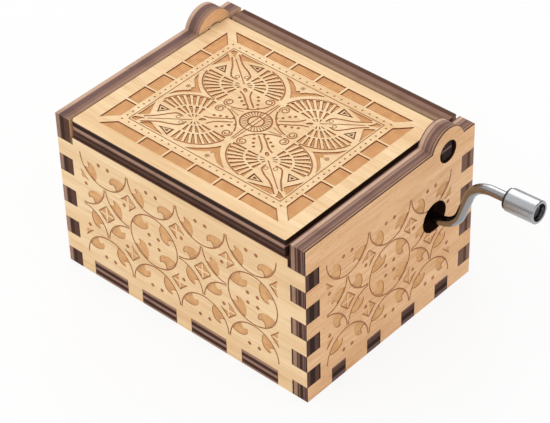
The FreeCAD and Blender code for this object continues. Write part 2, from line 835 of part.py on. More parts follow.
def crank_rod():
    """The bent rod, grooved for its clip and riveted over at the knob's end."""
    path = bent_path([inner_rod_end, first_bend, second_bend, end_washer_face], crank_bend_radius)
    section = Part.Wire(Part.makeCircle(rod_radius, inner_rod_end, X_AXIS))
    bar = path.makePipeShell([section], True, False)
    rivet = round_bar(rivet_radius, end_washer_face, rivet_face)
    groove_start = Vec(clip_back_x, crank_y, crank_z)
    groove_end = groove_start + X_AXIS * clip_thickness
    groove = tube(rod_radius + TINY, rod_radius - clip_groove_depth, groove_start, groove_end)
    return joined([bar, rivet]).cut(groove)


def crank_clip():
    """An open ring in the rod's groove, which keeps the rod in its bearings."""
    start = Vec(clip_back_x, crank_y, crank_z)
    end = start + X_AXIS * clip_thickness
    inner = rod_radius - clip_groove_depth + washer_clearance
    ring = tube(clip_radius, inner, start, end)
    reach = clip_radius * 2
    half = math.radians(clip_mouth_angle / 2)
    mouth = profile_solid([
        start,
        start + Vec(0, -reach * math.sin(half), -reach * math.cos(half)),
        start + Vec(0, reach * math.sin(half), -reach * math.cos(half)),
    ], X_AXIS * clip_thickness)
    return ring.cut(mouth)


def knob_back_washer():
    """The thin collar on the rod behind the knob."""
    face = knob_back - handle_direction * knob_end_play
    start = face - handle_direction * back_washer_thickness
    return tube(back_washer_radius, rod_radius + washer_clearance, start, face)


def knob_end_washer():
    """The washer under the rivet, which keeps the knob on the rod."""
    return tube(end_washer_radius, rod_radius + washer_clearance, end_washer_back, end_washer_face)


def knob_sleeve():
    """The tubular knob: a running bore on the rod and a recess for the washer at its end."""
    body = round_bar(knob_radius, knob_back, knob_front)
    rims = [edge for edge in body.Edges if edge.Closed and len(edge.Vertexes) == 1]
    body = body.makeChamfer(knob_edge, rims)
    over = handle_direction * TINY
    bore = round_bar(rod_radius + knob_bore_clearance, knob_back - over, knob_front + over)
    recess_floor = end_washer_back - handle_direction * knob_end_play
    recess = round_bar(knob_recess_radius, recess_floor, knob_front + over)
    return body.cut(bore).cut(recess)


# ---------------------------------------------------------------- the assembly

def build():
    """Every node of the music box, by name."""
    nodes = {}
    nodes["bottom_plate"] = bottom_plate()
    floor = nodes["bottom_plate"]
    nodes["front_wall"] = end_wall(-half_depth, -inner_y, front_wall_top, front_tongue_gap, floor)
    nodes["back_wall"] = end_wall(inner_y, half_depth, case_height, back_tongue_gap, floor)
    neighbours = [floor, nodes["front_wall"], nodes["back_wall"]]
    nodes["left_wall"] = side_wall(-half_length, -inner_x, neighbours)
    nodes["right_wall"] = side_wall(inner_x, half_length, neighbours).cut(crank_hole())
    nodes["lid"] = lid()

    nodes["bedplate"] = bedplate()
    nodes["mounting_screws"] = mounting_screws()
    nodes["comb"] = comb()
    nodes["comb_screws"] = comb_screws()
    nodes["tuning_weights"] = tuning_weights()
    nodes["front_bracket"] = front_bracket()
    nodes["front_bracket_screws"] = small_screws(front_screw_places())
    nodes["crank_bracket"] = crank_bracket()
    nodes["crank_bracket_screws"] = small_screws(crank_screw_places())
    nodes["arbor_bushes"] = arbor_bushes()
    nodes["crank_bushes"] = crank_bushes()

    nodes["melody_pins"] = melody_pins()
    nodes["drum"] = drum(nodes["melody_pins"])
    nodes["front_cap"] = drum_cap(drum_front, -Y_AXIS)
    nodes["rear_cap"] = drum_cap(drum_back, Y_AXIS)
    nodes["cylinder_arbor"] = cylinder_arbor()
    nodes["worm_wheel"] = worm_wheel()

    nodes["crank_rod"] = crank_rod()
    nodes["worm"] = worm()
    nodes["crank_clip"] = crank_clip()
    nodes["knob_back_washer"] = knob_back_washer()
    nodes["knob_end_washer"] = knob_end_washer()
    nodes["knob_sleeve"] = knob_sleeve()
    return nodes


os.makedirs("parts", exist_ok=True)
for name, shape in build().items():
    shape.exportStep("parts/" + name + ".step")
    print(name, len(shape.Solids), round(shape.Volume, 3), shape.isValid())
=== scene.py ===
"""A hand-cranked plywood music box: engraved case, cylinder movement, crank and a plain studio.

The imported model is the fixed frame. The case's panels are copied from it, softened, engraved and
dressed here; the movement, the crank and the knob keep their own shapes and take their finishes.
"""

import logging
import math
from collections.abc import Callable, Iterator
from contextlib import contextmanager
from dataclasses import dataclass, field
from enum import Enum
from itertools import product

import bpy
from mathutils import Matrix, Vector

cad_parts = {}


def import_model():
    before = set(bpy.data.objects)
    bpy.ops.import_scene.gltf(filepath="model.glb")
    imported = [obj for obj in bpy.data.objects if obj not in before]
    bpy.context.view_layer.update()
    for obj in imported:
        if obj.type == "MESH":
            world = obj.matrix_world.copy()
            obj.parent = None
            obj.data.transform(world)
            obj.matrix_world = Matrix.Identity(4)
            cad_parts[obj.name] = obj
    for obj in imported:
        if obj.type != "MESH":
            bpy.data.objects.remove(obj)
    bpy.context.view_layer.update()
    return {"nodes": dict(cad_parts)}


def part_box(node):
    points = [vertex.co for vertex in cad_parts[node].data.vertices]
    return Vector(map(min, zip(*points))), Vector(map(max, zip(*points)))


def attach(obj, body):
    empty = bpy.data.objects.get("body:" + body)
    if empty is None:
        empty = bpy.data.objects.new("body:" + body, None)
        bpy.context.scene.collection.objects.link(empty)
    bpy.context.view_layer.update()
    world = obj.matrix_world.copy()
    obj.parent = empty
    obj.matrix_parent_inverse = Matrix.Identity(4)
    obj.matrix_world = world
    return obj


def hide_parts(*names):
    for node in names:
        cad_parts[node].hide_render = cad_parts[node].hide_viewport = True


Colour = tuple[float, float, float]
Triple = tuple[float, float, float]
Stripes = tuple[tuple[float, Colour], ...]
Points = tuple[tuple[float, float], ...]
Knots = list[Points]
Piece = bpy.types.Object
Material = bpy.types.Material
Socket = bpy.types.NodeSocket
Inputs = dict[str | int, object]
Test = Callable[[bpy.types.MeshPolygon], bool]

LOG = logging.getLogger("music_box")
MM = 0.001
WHITE = (1.0, 1.0, 1.0)
WAVE_LENGTH = 0.31416  # of a wave texture at scale 1
NOISE_ROUGHNESS = 0.55
DOWNWARDS = -0.9  # a face whose normal's Z is below this looks down
FINE_ANGLE = math.radians(1)  # faces that meet flatter than this become one
MERGE_REACH = 0.001 * MM
OUTLINE_STEPS = 6  # straight pieces between two points of a drawn outline
STROKE_STEPS = 5  # and of a drawn line
CORNERS = tuple(product((-1, 1), repeat=2))

# Places in the noise, so that marks of different kinds don't fall on each other.
CLOUD_SHIFT = (3.7, 1.9, 5.3)
FLECK_SHIFT = (9.1, 2.2, 4.4)
SCORCH_SHIFT = (1.3, 7.7, 2.9)
STAIN_SHIFT = (4.1, 0.7, 6.3)


class Axis(Enum):
    """A direction of the model, by its place in a vector."""

    X = 0
    Y = 1
    Z = 2


class Floor(Enum):
    """How the bottom of an engraved shape looks."""

    SCORED = "scored"
    TOASTED = "toasted"
    RIMMED = "rimmed"


def tone(red: int, green: int, blue: int) -> Colour:
    """Turns a colour as it looks on a screen into the linear one that a shader takes.

    Args:
        red: Red from 0 to 255.
        green: Green from 0 to 255.
        blue: Blue from 0 to 255.

    Returns:
        The linear colour.
    """
    parts = (value / 255 for value in (red, green, blue))
    return tuple(p / 12.92 if p <= 0.04045 else ((p + 0.055) / 1.055) ** 2.4 for p in parts)


# ---------------------------------------------------------------- working by hand


def deselect() -> None:
    """Leaves nothing selected."""
    for chosen in list(bpy.context.selected_objects):
        chosen.select_set(False)


def only(piece: Piece) -> Piece:
    """Selects one object and makes it active.

    Args:
        piece: The object to select.

    Returns:
        The same object.
    """
    deselect()
    piece.select_set(True)
    bpy.context.view_layer.objects.active = piece
    return piece


def placed(name: str, data: bpy.types.ID) -> Piece:
    """Puts a new object into the scene.

    Args:
        name: What it is called.
        data: Its mesh, curve, light or camera.

    Returns:
        The object.
    """
    piece = bpy.data.objects.new(name, data)
    bpy.context.scene.collection.objects.link(piece)
    return piece


@contextmanager
def editing(piece: Piece) -> Iterator[None]:
    """Holds a piece in edit mode, in face mode, for the length of a with block.

    Args:
        piece: The object to edit.

    Yields:
        Nothing.
    """
    only(piece)
    bpy.ops.object.mode_set(mode="EDIT")
    bpy.ops.mesh.select_mode(type="FACE")
    yield
    bpy.ops.object.mode_set(mode="OBJECT")


def heal() -> None:
    """In edit mode, merges all of a mesh's doubles and turns its faces outwards."""
    bpy.ops.mesh.select_all(action="SELECT")
    bpy.ops.mesh.remove_doubles(threshold=MERGE_REACH)
    bpy.ops.mesh.normals_make_consistent(inside=False)


def pick(piece: Piece, test: Test) -> None:
    """Selects the faces of a piece that pass a test, and no others.

    Args:
        piece: The object to select on.
        test: Says of a face whether it is picked.
    """
    mesh = piece.data
    mesh.vertices.foreach_set("select", [False] * len(mesh.vertices))
    mesh.edges.foreach_set("select", [False] * len(mesh.edges))
    mesh.polygons.foreach_set("select", [test(face) for face in mesh.polygons])


def modify(piece: Piece, kind: str, **settings: object) -> None:
    """Adds a modifier with its settings and applies it.

    Args:
        piece: The object to change.
        kind: Blender's name for the modifier.
        **settings: The modifier's values by name.
    """
    only(piece)
    modifier = piece.modifiers.new(kind.lower(), kind)
    for key, value in settings.items():
        setattr(modifier, key, value)
    bpy.ops.object.modifier_apply(modifier=modifier.name)


def settle(piece: Piece) -> Piece:
    """Moves a piece's place, turn and size into its mesh.

    Args:
        piece: The object to settle.

    Returns:
        The same object.
    """
    only(piece)
    bpy.ops.object.transform_apply(location=True, rotation=True, scale=True)
    return piece


def joined(pieces: list[Piece], name: str) -> Piece:
    """Joins pieces into one object.

    Args:
        pieces: The objects to join.
        name: What the joined object is called.

    Returns:
        The joined object.
    """
    deselect()
    for piece in pieces:
        piece.select_set(True)
    bpy.context.view_layer.objects.active = pieces[0]
    bpy.ops.object.join()
    pieces[0].name = name
    return pieces[0]


# ---------------------------------------------------------------- finishes


class NodeSheet:
    """The node tree of a material or a world, with short calls to add and feed its nodes."""

    def __init__(self, owner: Material | bpy.types.World, shader: str = "Principled BSDF") -> None:
        """Turns the owner's nodes on.

        Args:
            owner: The material or world.
            shader: Name of the shader node that it starts with.
        """
        owner.use_nodes = True
        self.owner = owner
        self.tree = owner.node_tree
        self.shader = self.tree.nodes[shader]

    def feed(self, node: bpy.types.Node, inputs: Inputs) -> None:
        """Gives inputs of a node their values.

        Args:
            node: The node to feed.
            inputs: For an input's name or number a number, a vector, a colour, or an output to link.
        """
        for key, value in inputs.items():
            if isinstance(value, Socket):
                self.tree.links.new(value, node.inputs[key])
            elif node.inputs[key].type == "RGBA":
                node.inputs[key].default_value = (*value, 1.0)
            else:
                node.inputs[key].default_value = value

    def add(self, kind: str, inputs: Inputs, **settings: object) -> bpy.types.Node:
        """Adds a node.

        Args:
            kind: Blender's name for the node.
            inputs: What its inputs are fed with.
            **settings: The node's own properties.

        Returns:
            The node.
        """
        node = self.tree.nodes.new(kind)
        for key, value in settings.items():
            setattr(node, key, value)
        self.feed(node, inputs)
        return node

    def coordinates(self, kind: str = "Object") -> Socket:
        """Gives texture coordinates of a kind."""
        return self.add("ShaderNodeTexCoord", {}).outputs[kind]

    def scaled(self, scale: Triple, shift: Triple = (0, 0, 0)) -> Socket:
        """Gives object coordinates, scaled and shifted.

        Args:
            scale: Repeats per metre along each axis.
            shift: Offset after scaling.

        Returns:
            The vector output.
        """
        inputs = {"Vector": self.coordinates(), "Scale": scale, "Location": shift}
        return self.add("ShaderNodeMapping", inputs).outputs["Vector"]

    def noise(self, scale: Triple, detail: float, shift: Triple = (0, 0, 0)) -> Socket:
        """Adds a noise texture on object coordinates.

        Args:
            scale: Repeats per metre along each axis.
            detail: How many finer layers it has.
            shift: Where in the noise it lies.

        Returns:
            Its value, from 0 to 1.
        """
        inputs = {"Vector": self.scaled(scale, shift), "Scale": 1.0, "Detail": detail,
                  "Roughness": NOISE_ROUGHNESS}
        return self.add("ShaderNodeTexNoise", inputs).outputs["Fac"]

    def ramp(self, value: Socket, stops: list[tuple[float, Colour]]) -> Socket:
        """Turns a value into a colour through stops.

        Args:
            value: The value to look up.
            stops: Places from 0 to 1 with their colours.

        Returns:
            The colour output.
        """
        node = self.add("ShaderNodeValToRGB", {"Fac": value})
        elements = node.color_ramp.elements
        while len(elements) < len(stops):
            elements.new(1.0)
        for element, (place, colour) in zip(elements, stops):
            element.position = place
            element.color = (*colour, 1.0)
        return node.outputs["Color"]

    def mixed(self, share: Socket | float, first: Socket | Colour, second: Socket | Colour,
              how: str = "MIX") -> Socket:
        """Mixes two colours.

        Args:
            share: How much of the second.
            first: The colour below.
            second: The colour above.
            how: The blend type.

        Returns:
            The mixed colour output.
        """
        node = self.add("ShaderNodeMix", {0: share, 6: first, 7: second}, data_type="RGBA", blend_type=how)
        return node.outputs[2]

    def ranged(self, value: Socket, low: float, high: float, to_low: float, to_high: float) -> Socket:
        """Maps a value from one range to another, clamped.

        Args:
            value: The value to map.
            low: Low end of its range.
            high: High end of its range.
            to_low: What the low end becomes.
            to_high: What the high end becomes.

        Returns:
            The mapped value.
        """
        inputs = {"Value": value, "From Min": low, "From Max": high, "To Min": to_low, "To Max": to_high}
        return self.add("ShaderNodeMapRange", inputs).outputs["Result"]

    def along(self, axis: Axis, low: float, high: float) -> Socket:
        """Gives the place between two values of an object coordinate.

        Args:
            axis: Which coordinate.
            low: Where the place is 0.
            high: Where the place is 1.

        Returns:
            The place, from 0 to 1.
        """
        parts = self.add("ShaderNodeSeparateXYZ", {0: self.coordinates()})
        return self.ranged(parts.outputs[axis.value], low, high, 0.0, 1.0)

    def bump(self, height: Socket, distance: float, strength: float = 1.0) -> None:
        """Raises the shader's normal by a height.

        Args:
            height: The height, from 0 to 1.
            distance: How far a height of 1 rises.
            strength: How much of it shows.
        """
        node = self.add("ShaderNodeBump", {"Height": height, "Distance": distance, "Strength": strength})
        self.feed(self.shader, {"Normal": node.outputs["Normal"]})

    def wear(self, colour: Socket, roughness: Socket | float, specular: float = 0.5,
             metallic: float = 0.0) -> Material:
        """Gives the shader its colour and gloss.

        Args:
            colour: The base colour.
            roughness: The roughness.
            specular: The level of the sheen on what isn't metal.
            metallic: 1 for metal.

        Returns:
            The material, which is then done.
        """
        self.feed(self.shader, {"Base Color": colour, "Roughness": roughness, "Metallic": metallic,
                                "Specular IOR Level": specular})
        return self.owner


def stretched(grain: Axis, length: float, width: float) -> Triple:
    """Gives noise repeats for marks that are drawn out along a grain.

    Args:
        grain: The direction of the grain.
        length: Length of a mark along it.
        width: Width of a mark across it.

    Returns:
        Repeats per metre along each axis.
    """
    scale = [1 / width] * 3
    scale[grain.value] = 1 / length
    return tuple(scale)


@dataclass(frozen=True)
class PaleVeneer:
    """The pale face of the plywood, with fine streaks along its grain."""

    name: str
    grain: Axis
    light: Colour = tone(249, 219, 175)
    middle: Colour = tone(245, 212, 166)
    dark: Colour = tone(233, 196, 148)
    streak_length: float = 9 * MM
    streak_width: float = 0.35 * MM
    fleck: Colour = tone(222, 178, 128)
    fleck_strength: float = 0.3
    fleck_length: float = 1.6 * MM
    fleck_width: float = 0.16 * MM
    cloud: Colour = tone(238, 226, 212)
    cloud_size: float = 14 * MM
    roughness: float = 0.62

    def make(self) -> Material:
        """Builds the material.

        Returns:
            The material.
        """
        sheet = NodeSheet(bpy.data.materials.new(self.name))
        streak = sheet.noise(stretched(self.grain, self.streak_length, self.streak_width), 5.0)
        cloud_scale = stretched(self.grain, 3 * self.cloud_size, self.cloud_size / 3)
        cloud = sheet.noise(cloud_scale, 2.0, CLOUD_SHIFT)
        fleck = sheet.noise(stretched(self.grain, self.fleck_length, self.fleck_width), 2.0, FLECK_SHIFT)
        wood = sheet.ramp(streak, [(0.30, self.dark), (0.46, self.middle), (0.68, self.light)])
        clouds = sheet.ramp(cloud, [(0.35, self.cloud), (0.65, WHITE)])
        wood = sheet.mixed(0.8, wood, clouds, "MULTIPLY")
        flecks = sheet.ranged(fleck, 0.60, 0.72, 0.0, self.fleck_strength)
        wood = sheet.mixed(flecks, wood, self.fleck)
        gloss = sheet.ranged(streak, 0.3, 0.7, self.roughness + 0.08, self.roughness - 0.06)
        sheet.bump(streak, 0.03 * MM, 0.6)
        return sheet.wear(wood, gloss, specular=0.35)


def flecked_veneer(name: str, grain: Axis) -> PaleVeneer:
    """Gives the warmer, more flecked veneer of the side walls."""
    return PaleVeneer(name, grain, tone(248, 206, 161), tone(240, 194, 147), tone(224, 172, 126),
                      fleck=tone(196, 138, 92), fleck_strength=0.7)


@dataclass(frozen=True)
class BurntEdge:
    """A laser-cut edge: the plies show as scorched stripes across the panel's thickness.

    Each stripe is a width in millimetres with its colour, from the low side of the panel up.
    """

    name: str
    across: Axis
    low: float
    high: float
    stripes: Stripes
    char: Colour = tone(36, 19, 13)
    softness: float = 0.008
    fibre_size: float = 0.05 * MM
    scorch_repeats: float = 180.0

    def _stops(self) -> list[tuple[float, Colour]]:
        """Turns the stripes into stops with soft borders.

        Returns:
            Two stops for each stripe.
        """
        total = sum(width for width, _ in self.stripes)
        stops = []
        start = 0.0
        for width, colour in self.stripes:
            end = start + width / total
            stops += [(start + self.softness, colour), (end - self.softness, colour)]
            start = end
        return stops

    def make(self) -> Material:
        """Builds the material.

        Returns:
            The material.
        """
        sheet = NodeSheet(bpy.data.materials.new(self.name))
        stripes = sheet.ramp(sheet.along(self.across, self.low, self.high), self._stops())
        fibres = sheet.noise(stretched(self.across, self.fibre_size, 10 * self.fibre_size), 4.0)
        scorch = sheet.noise((self.scorch_repeats,) * 3, 3.0, SCORCH_SHIFT)
        burnt = sheet.mixed(sheet.ranged(fibres, 0.48, 0.72, 0.0, 0.32), stripes, self.char)
        burnt = sheet.mixed(sheet.ranged(scorch, 0.50, 0.78, 0.0, 0.35), burnt, self.char)
        sheet.bump(fibres, 0.02 * MM, 0.6)
        return sheet.wear(burnt, sheet.ranged(fibres, 0.3, 0.7, 0.62, 0.8), specular=0.15)


@dataclass(frozen=True)
class RasterFloor:
    """The floor of an engraved shape: toasted wood with the fine lines that the laser left."""

    name: str
    across: Axis
    pitch: float = 0.30 * MM
    light: Colour = tone(240, 190, 134)
    dark: Colour = tone(218, 164, 108)
    shade: Colour = tone(224, 210, 200)
    mottle_repeats: float = 700.0
    roughness: float = 0.7

    def make(self) -> Material:
        """Builds the material.

        Returns:
            The material.
        """
        sheet = NodeSheet(bpy.data.materials.new(self.name))
        inputs = {"Vector": sheet.scaled((WAVE_LENGTH / self.pitch,) * 3), "Scale": 1.0, "Distortion": 0.4}
        lines = sheet.add("ShaderNodeTexWave", inputs, bands_direction=self.across.name).outputs["Fac"]
        mottle = sheet.noise((self.mottle_repeats,) * 3, 3.0)
        toasted = sheet.ramp(lines, [(0.25, self.dark), (0.75, self.light)])
        shade = sheet.ramp(mottle, [(0.35, self.shade), (0.65, WHITE)])
        sheet.bump(lines, 0.04 * MM, 0.8)
        return sheet.wear(sheet.mixed(0.6, toasted, shade, "MULTIPLY"), self.roughness, specular=0.25)


@dataclass(frozen=True)
class ScoredLine:
    """The darker burn along an engraved outline."""

    name: str
    light: Colour = tone(194, 132, 84)
    dark: Colour = tone(160, 102, 60)
    char_repeats: float = 1500.0
    roughness: float = 0.7

    def make(self) -> Material:
        """Builds the material.

        Returns:
            The material.
        """
        sheet = NodeSheet(bpy.data.materials.new(self.name))
        char = sheet.noise((self.char_repeats,) * 3, 3.0)
        sheet.bump(char, 0.03 * MM)
        return sheet.wear(sheet.ramp(char, [(0.35, self.dark), (0.65, self.light)]), self.roughness)


@dataclass(frozen=True)
class Metal:
    """A metal with fine marks left by drawing, turning or grinding."""

    name: str
    colour: Colour
    roughness: float
    grain: Axis = Axis.X
    mark_length: float = 6 * MM
    mark_width: float = 0.08 * MM
    mark_depth: float = 0.004 * MM
    dulling: float = 0.12
    worn_share: float = 0.78
    stain_repeats: float = 260.0

    def make(self) -> Material:
        """Builds the material.

        Returns:
            The material.
        """
        sheet = NodeSheet(bpy.data.materials.new(self.name))
        marks = sheet.noise(stretched(self.grain, self.mark_length, self.mark_width), 4.0)
        stain = sheet.noise((self.stain_repeats,) * 3, 3.0, STAIN_SHIFT)
        worn = tuple(self.worn_share * part for part in self.colour)
        skin = sheet.mixed(sheet.ranged(stain, 0.48, 0.75, 0.0, 0.55), self.colour, worn)
        skin = sheet.mixed(sheet.ranged(marks, 0.55, 0.75, 0.0, 0.18), skin, worn)
        gloss = sheet.ranged(marks, 0.3, 0.7, self.roughness, self.roughness + self.dulling)
        sheet.bump(marks, self.mark_depth)
        return sheet.wear(skin, gloss, metallic=1.0)


# ---------------------------------------------------------------- engraving


@dataclass
class Stencil:
    """Shapes that stand ready to be cut into a panel, drawn in the panel's own plane.

    The plane's X runs along the panel, its Y up or back, and its Z out of the wood.
    """

    name: str
    depth: float
    scored: Material
    floor: Material
    rim: float
    rim_sink: float = 0.03 * MM
    proud: float = 0.3 * MM
    stamps: list[Piece] = field(default_factory=list)
    motifs: list[Piece] = field(default_factory=list)

    def _cut_to_depth(self, shape: Piece, bottom: Floor) -> Piece:
        """Gives a shape of unit height its depth and its finishes.

        Args:
            shape: An object that runs from -0.5 to 0.5 in Z.
            bottom: What its floor looks like; a rimmed one is toasted inside a scored rim.

        Returns:
            The finished motif, kept out of the engraving until it is stamped.
        """
        height = self.depth + self.proud
        shape.scale.z *= height
        shape.location.z = self.proud - height / 2
        settle(shape)
        shape.data.materials.clear()
        shape.data.materials.append(self.scored)
        shape.data.materials.append(self.floor)
        pick(shape, lambda face: face.normal.z < DOWNWARDS)
        if bottom is Floor.RIMMED:
            with editing(shape):
                bpy.ops.mesh.dissolve_limited(angle_limit=FINE_ANGLE)
                bpy.ops.mesh.inset(thickness=self.rim, depth=0)
                bpy.ops.transform.translate(value=(0, 0, self.rim_sink))
        for face in shape.data.polygons:
            face.material_index = 1 if face.select and bottom is not Floor.SCORED else 0
        self.motifs.append(shape)
        return shape

    def dot(self, radius: float, sides: int = 12) -> Piece:
        """Models a round dot."""
        bpy.ops.mesh.primitive_cylinder_add(vertices=sides, radius=radius, depth=1)
        return self._cut_to_depth(bpy.context.object, Floor.SCORED)

    @staticmethod
    def _slab(length: float, width: float, middle: float = 0.0) -> Piece:
        """Adds a slab of unit height about a place on the X axis.

        Args:
            length: Length along X.
            width: Width along Y.
            middle: Where its middle lies on the X axis.

        Returns:
            The slab.
        """
        bpy.ops.mesh.primitive_cube_add(size=1, location=(middle, 0, 0))
        bpy.context.object.scale = (length, width, 1)
        return settle(bpy.context.object)

    def block(self, length: float, width: float, mitre: float = 0.0) -> Piece:
        """Models a rectangular block, with its left end cut on the slant if it is mitred.

        Args:
            length: Length along X.
            width: Width along Y.
            mitre: How much shorter the block's inner side is than its outer one.

        Returns:
            The motif, centred on its length and width.
        """
        shape = self._slab(length, width)
        for corner in shape.data.vertices:
            if corner.co.x < 0 and corner.co.y < 0:
                corner.co.x += mitre
        return self._cut_to_depth(shape, Floor.RIMMED)

    def wedge(self, reach: tuple[float, float], widths: tuple[float, float], bottom: Floor) -> Piece:
        """Models a ray that widens outwards along X from the plane's origin.

        Args:
            reach: Where it starts and ends.
            widths: How wide it is there.
            bottom: What its floor looks like.

        Returns:
            The motif.
        """
        middle = sum(reach) / 2
        shape = self._slab(reach[1] - reach[0], 1, middle)
        for corner in shape.data.vertices:
            corner.co.y *= widths[1] if corner.co.x > middle else widths[0]
        return self._cut_to_depth(shape, bottom)

    def arc(self, radius: float, width: float, sweep: float, steps: int) -> Piece:
        """Models a curved line about the plane's origin, from the +X side turning left.

        Args:
            radius: Radius of the line's middle.
            width: Width of the line.
            sweep: Angle that it covers, in degrees; 360 closes it.
            steps: Straight pieces along it.

        Returns:
            The motif.
        """
        upright = (math.radians(90), 0, 0)
        bpy.ops.mesh.primitive_plane_add(size=1, location=(radius, 0, 0), rotation=upright)
        shape = bpy.context.object
        shape.scale = (width, 1, 1)
        settle(shape)
        pick(shape, lambda face: True)
        with editing(shape):
            if sweep >= 360:
                bpy.ops.mesh.delete(type="ONLY_FACE")
                bpy.ops.mesh.select_mode(type="EDGE")
                bpy.ops.mesh.select_all(action="SELECT")
            bpy.ops.mesh.spin(steps=steps, angle=math.radians(sweep), center=(0, 0, 0), axis=(0, 0, -1))
            heal()
        return self._cut_to_depth(shape, Floor.SCORED)

    @staticmethod
    def _curve(fill: str, steps: int) -> bpy.types.Curve:
        """Starts a flat curve of unit height.

        Args:
            fill: Blender's name for what is filled.
            steps: Straight pieces between two points.

        Returns:
            The curve, with nothing drawn yet.
        """
        curve = bpy.data.curves.new("outline", "CURVE")
        curve.dimensions = "2D"
        curve.fill_mode = fill
        curve.extrude = 0.5
        curve.resolution_u = steps
        return curve

    @staticmethod
    def _as_mesh(curve: bpy.types.Curve) -> Piece:
        """Turns a drawn curve into a mesh.

        Args:
            curve: The curve.

        Returns:
            Its object, which now holds a mesh.
        """
        only(placed(curve.name, curve))
        bpy.ops.object.convert(target="MESH")
        return bpy.context.object

    def outline(self, points: Knots, hole: Knots = (), sharp: bool = False,
                bottom: Floor = Floor.RIMMED) -> Piece:
        """Models a closed shape from a drawn outline.

        Args:
            points: For each point its place, its left handle and its right handle, in millimetres.
            hole: The same for a hole in the shape, if it has one.
            sharp: Whether the handles are left out and the sides are straight.
            bottom: What its floor looks like.

        Returns:
            The motif.
        """
        curve = self._curve("BOTH", 1 if sharp else OUTLINE_STEPS)
        for loop in filter(None, (points, hole)):
            spline = curve.splines.new("BEZIER")
            spline.bezier_points.add(len(loop) - 1)
            spline.use_cyclic_u = True
            for knot, places in zip(spline.bezier_points, loop):
                knot.handle_left_type = knot.handle_right_type = "VECTOR" if sharp else "FREE"
                for part, (x, y) in zip(("co", "handle_left", "handle_right"), places):
                    setattr(knot, part, (x * MM, y * MM, 0))
        shape = self._as_mesh(curve)
        with editing(shape):
            heal()
            bpy.ops.mesh.dissolve_limited(angle_limit=FINE_ANGLE)
        return self._cut_to_depth(shape, bottom)

    def stroke(self, points: Points, width: float) -> Piece:
        """Models a thin open line.

        Args:
            points: What it runs through smoothly, in millimetres.
            width: How wide it is.

        Returns:
            The motif.
        """
        curve = self._curve("NONE", STROKE_STEPS if len(points) > 2 else 1)
        spline = curve.splines.new("BEZIER")
        spline.bezier_points.add(len(points) - 1)
        for knot, (x, y) in zip(spline.bezier_points, points):
            knot.handle_left_type = knot.handle_right_type = "AUTO"
            knot.co = (x * MM, y * MM, 0)
        shape = self._as_mesh(curve)
        modify(shape, "SOLIDIFY", thickness=width, offset=0, use_even_offset=True)
        return self._cut_to_depth(shape, Floor.SCORED)

    def stamp(self, motif: Piece, place: Matrix) -> None:
        """Puts a copy of a motif on the plane, with its own mesh.

        Args:
            motif: A motif made by this stencil.
            place: Where it goes, which may turn, mirror or stretch it.
        """
        copy = placed(motif.name, motif.data.copy())
        copy.data.transform(place)
        if place.determinant() < 0:
            copy.data.flip_normals()
        self.stamps.append(copy)

    def cut(self, panel: Piece, plane: Matrix) -> None:
        """Cuts all that was stamped out of a panel and clears the stencil.

        Args:
            panel: The panel's object.
            plane: The stencil's plane in the model.
        """
        cutter = joined(self.stamps, self.name)
        cutter.data.transform(plane)
        modify(panel, "BOOLEAN", operation="DIFFERENCE", solver="EXACT", material_mode="TRANSFER",
               object=cutter)
        for done in [cutter, *self.motifs]:
            bpy.data.objects.remove(done)
        self.stamps.clear()
        self.motifs.clear()


def at(x: float, y: float, turn: float = 0.0, stretch: tuple[float, float] = (1.0, 1.0)) -> Matrix:
    """Gives a place on a stencil's plane.

    Args:
        x: Where it lies along X.
        y: Where it lies along Y.
        turn: Degrees that it is turned to the left before it is moved.
        stretch: How it is stretched along X and Y before it is turned.

    Returns:
        The place.
    """
    return Matrix.Translation((x, y, 0)) @ Matrix.Rotation(math.radians(turn), 4, "Z") @ flip(*stretch)


def flip(x: float, y: float) -> Matrix:
    """Gives a mirror or a stretch along X and Y."""
    return Matrix.Diagonal((x, y, 1.0, 1.0))


# A comma-shaped leaf that lies inside a ring: place, left handle and right handle, each as an angle
# from the tail in degrees and a share of the ring's radius.
COMMA_LEAF = [
    ((0, 0.985), (-1, 0.90), (6, 1.00)),
    ((39.5, 0.99), (26, 1.00), (37.5, 0.93)),
    ((36.5, 0.79), (35.5, 0.86), (38.5, 0.70)),
    ((50.5, 0.735), (45, 0.725), (54, 0.66)),
    ((33, 0.485), (46, 0.50), (20, 0.475)),
    ((2.5, 0.70), (7, 0.59), (0, 0.78)),
]


def on_ring(knot: Points, radius: float, size: float = 1.0) -> Points:
    """Turns a knot given by angles and shares of a radius into one given in millimetres.

    Args:
        knot: The place and its handles, each as an angle and a share.
        radius: The ring's radius.
        size: How large the outline is, kept against the ring and at its starting angle.

    Returns:
        The place and its handles.
    """
    places = []
    for angle, share in knot:
        reach = (1 - (1 - share) * size) * radius / MM
        turn = math.radians(angle * size)
        places.append((reach * math.sin(turn), reach * math.cos(turn)))
    return tuple(places)


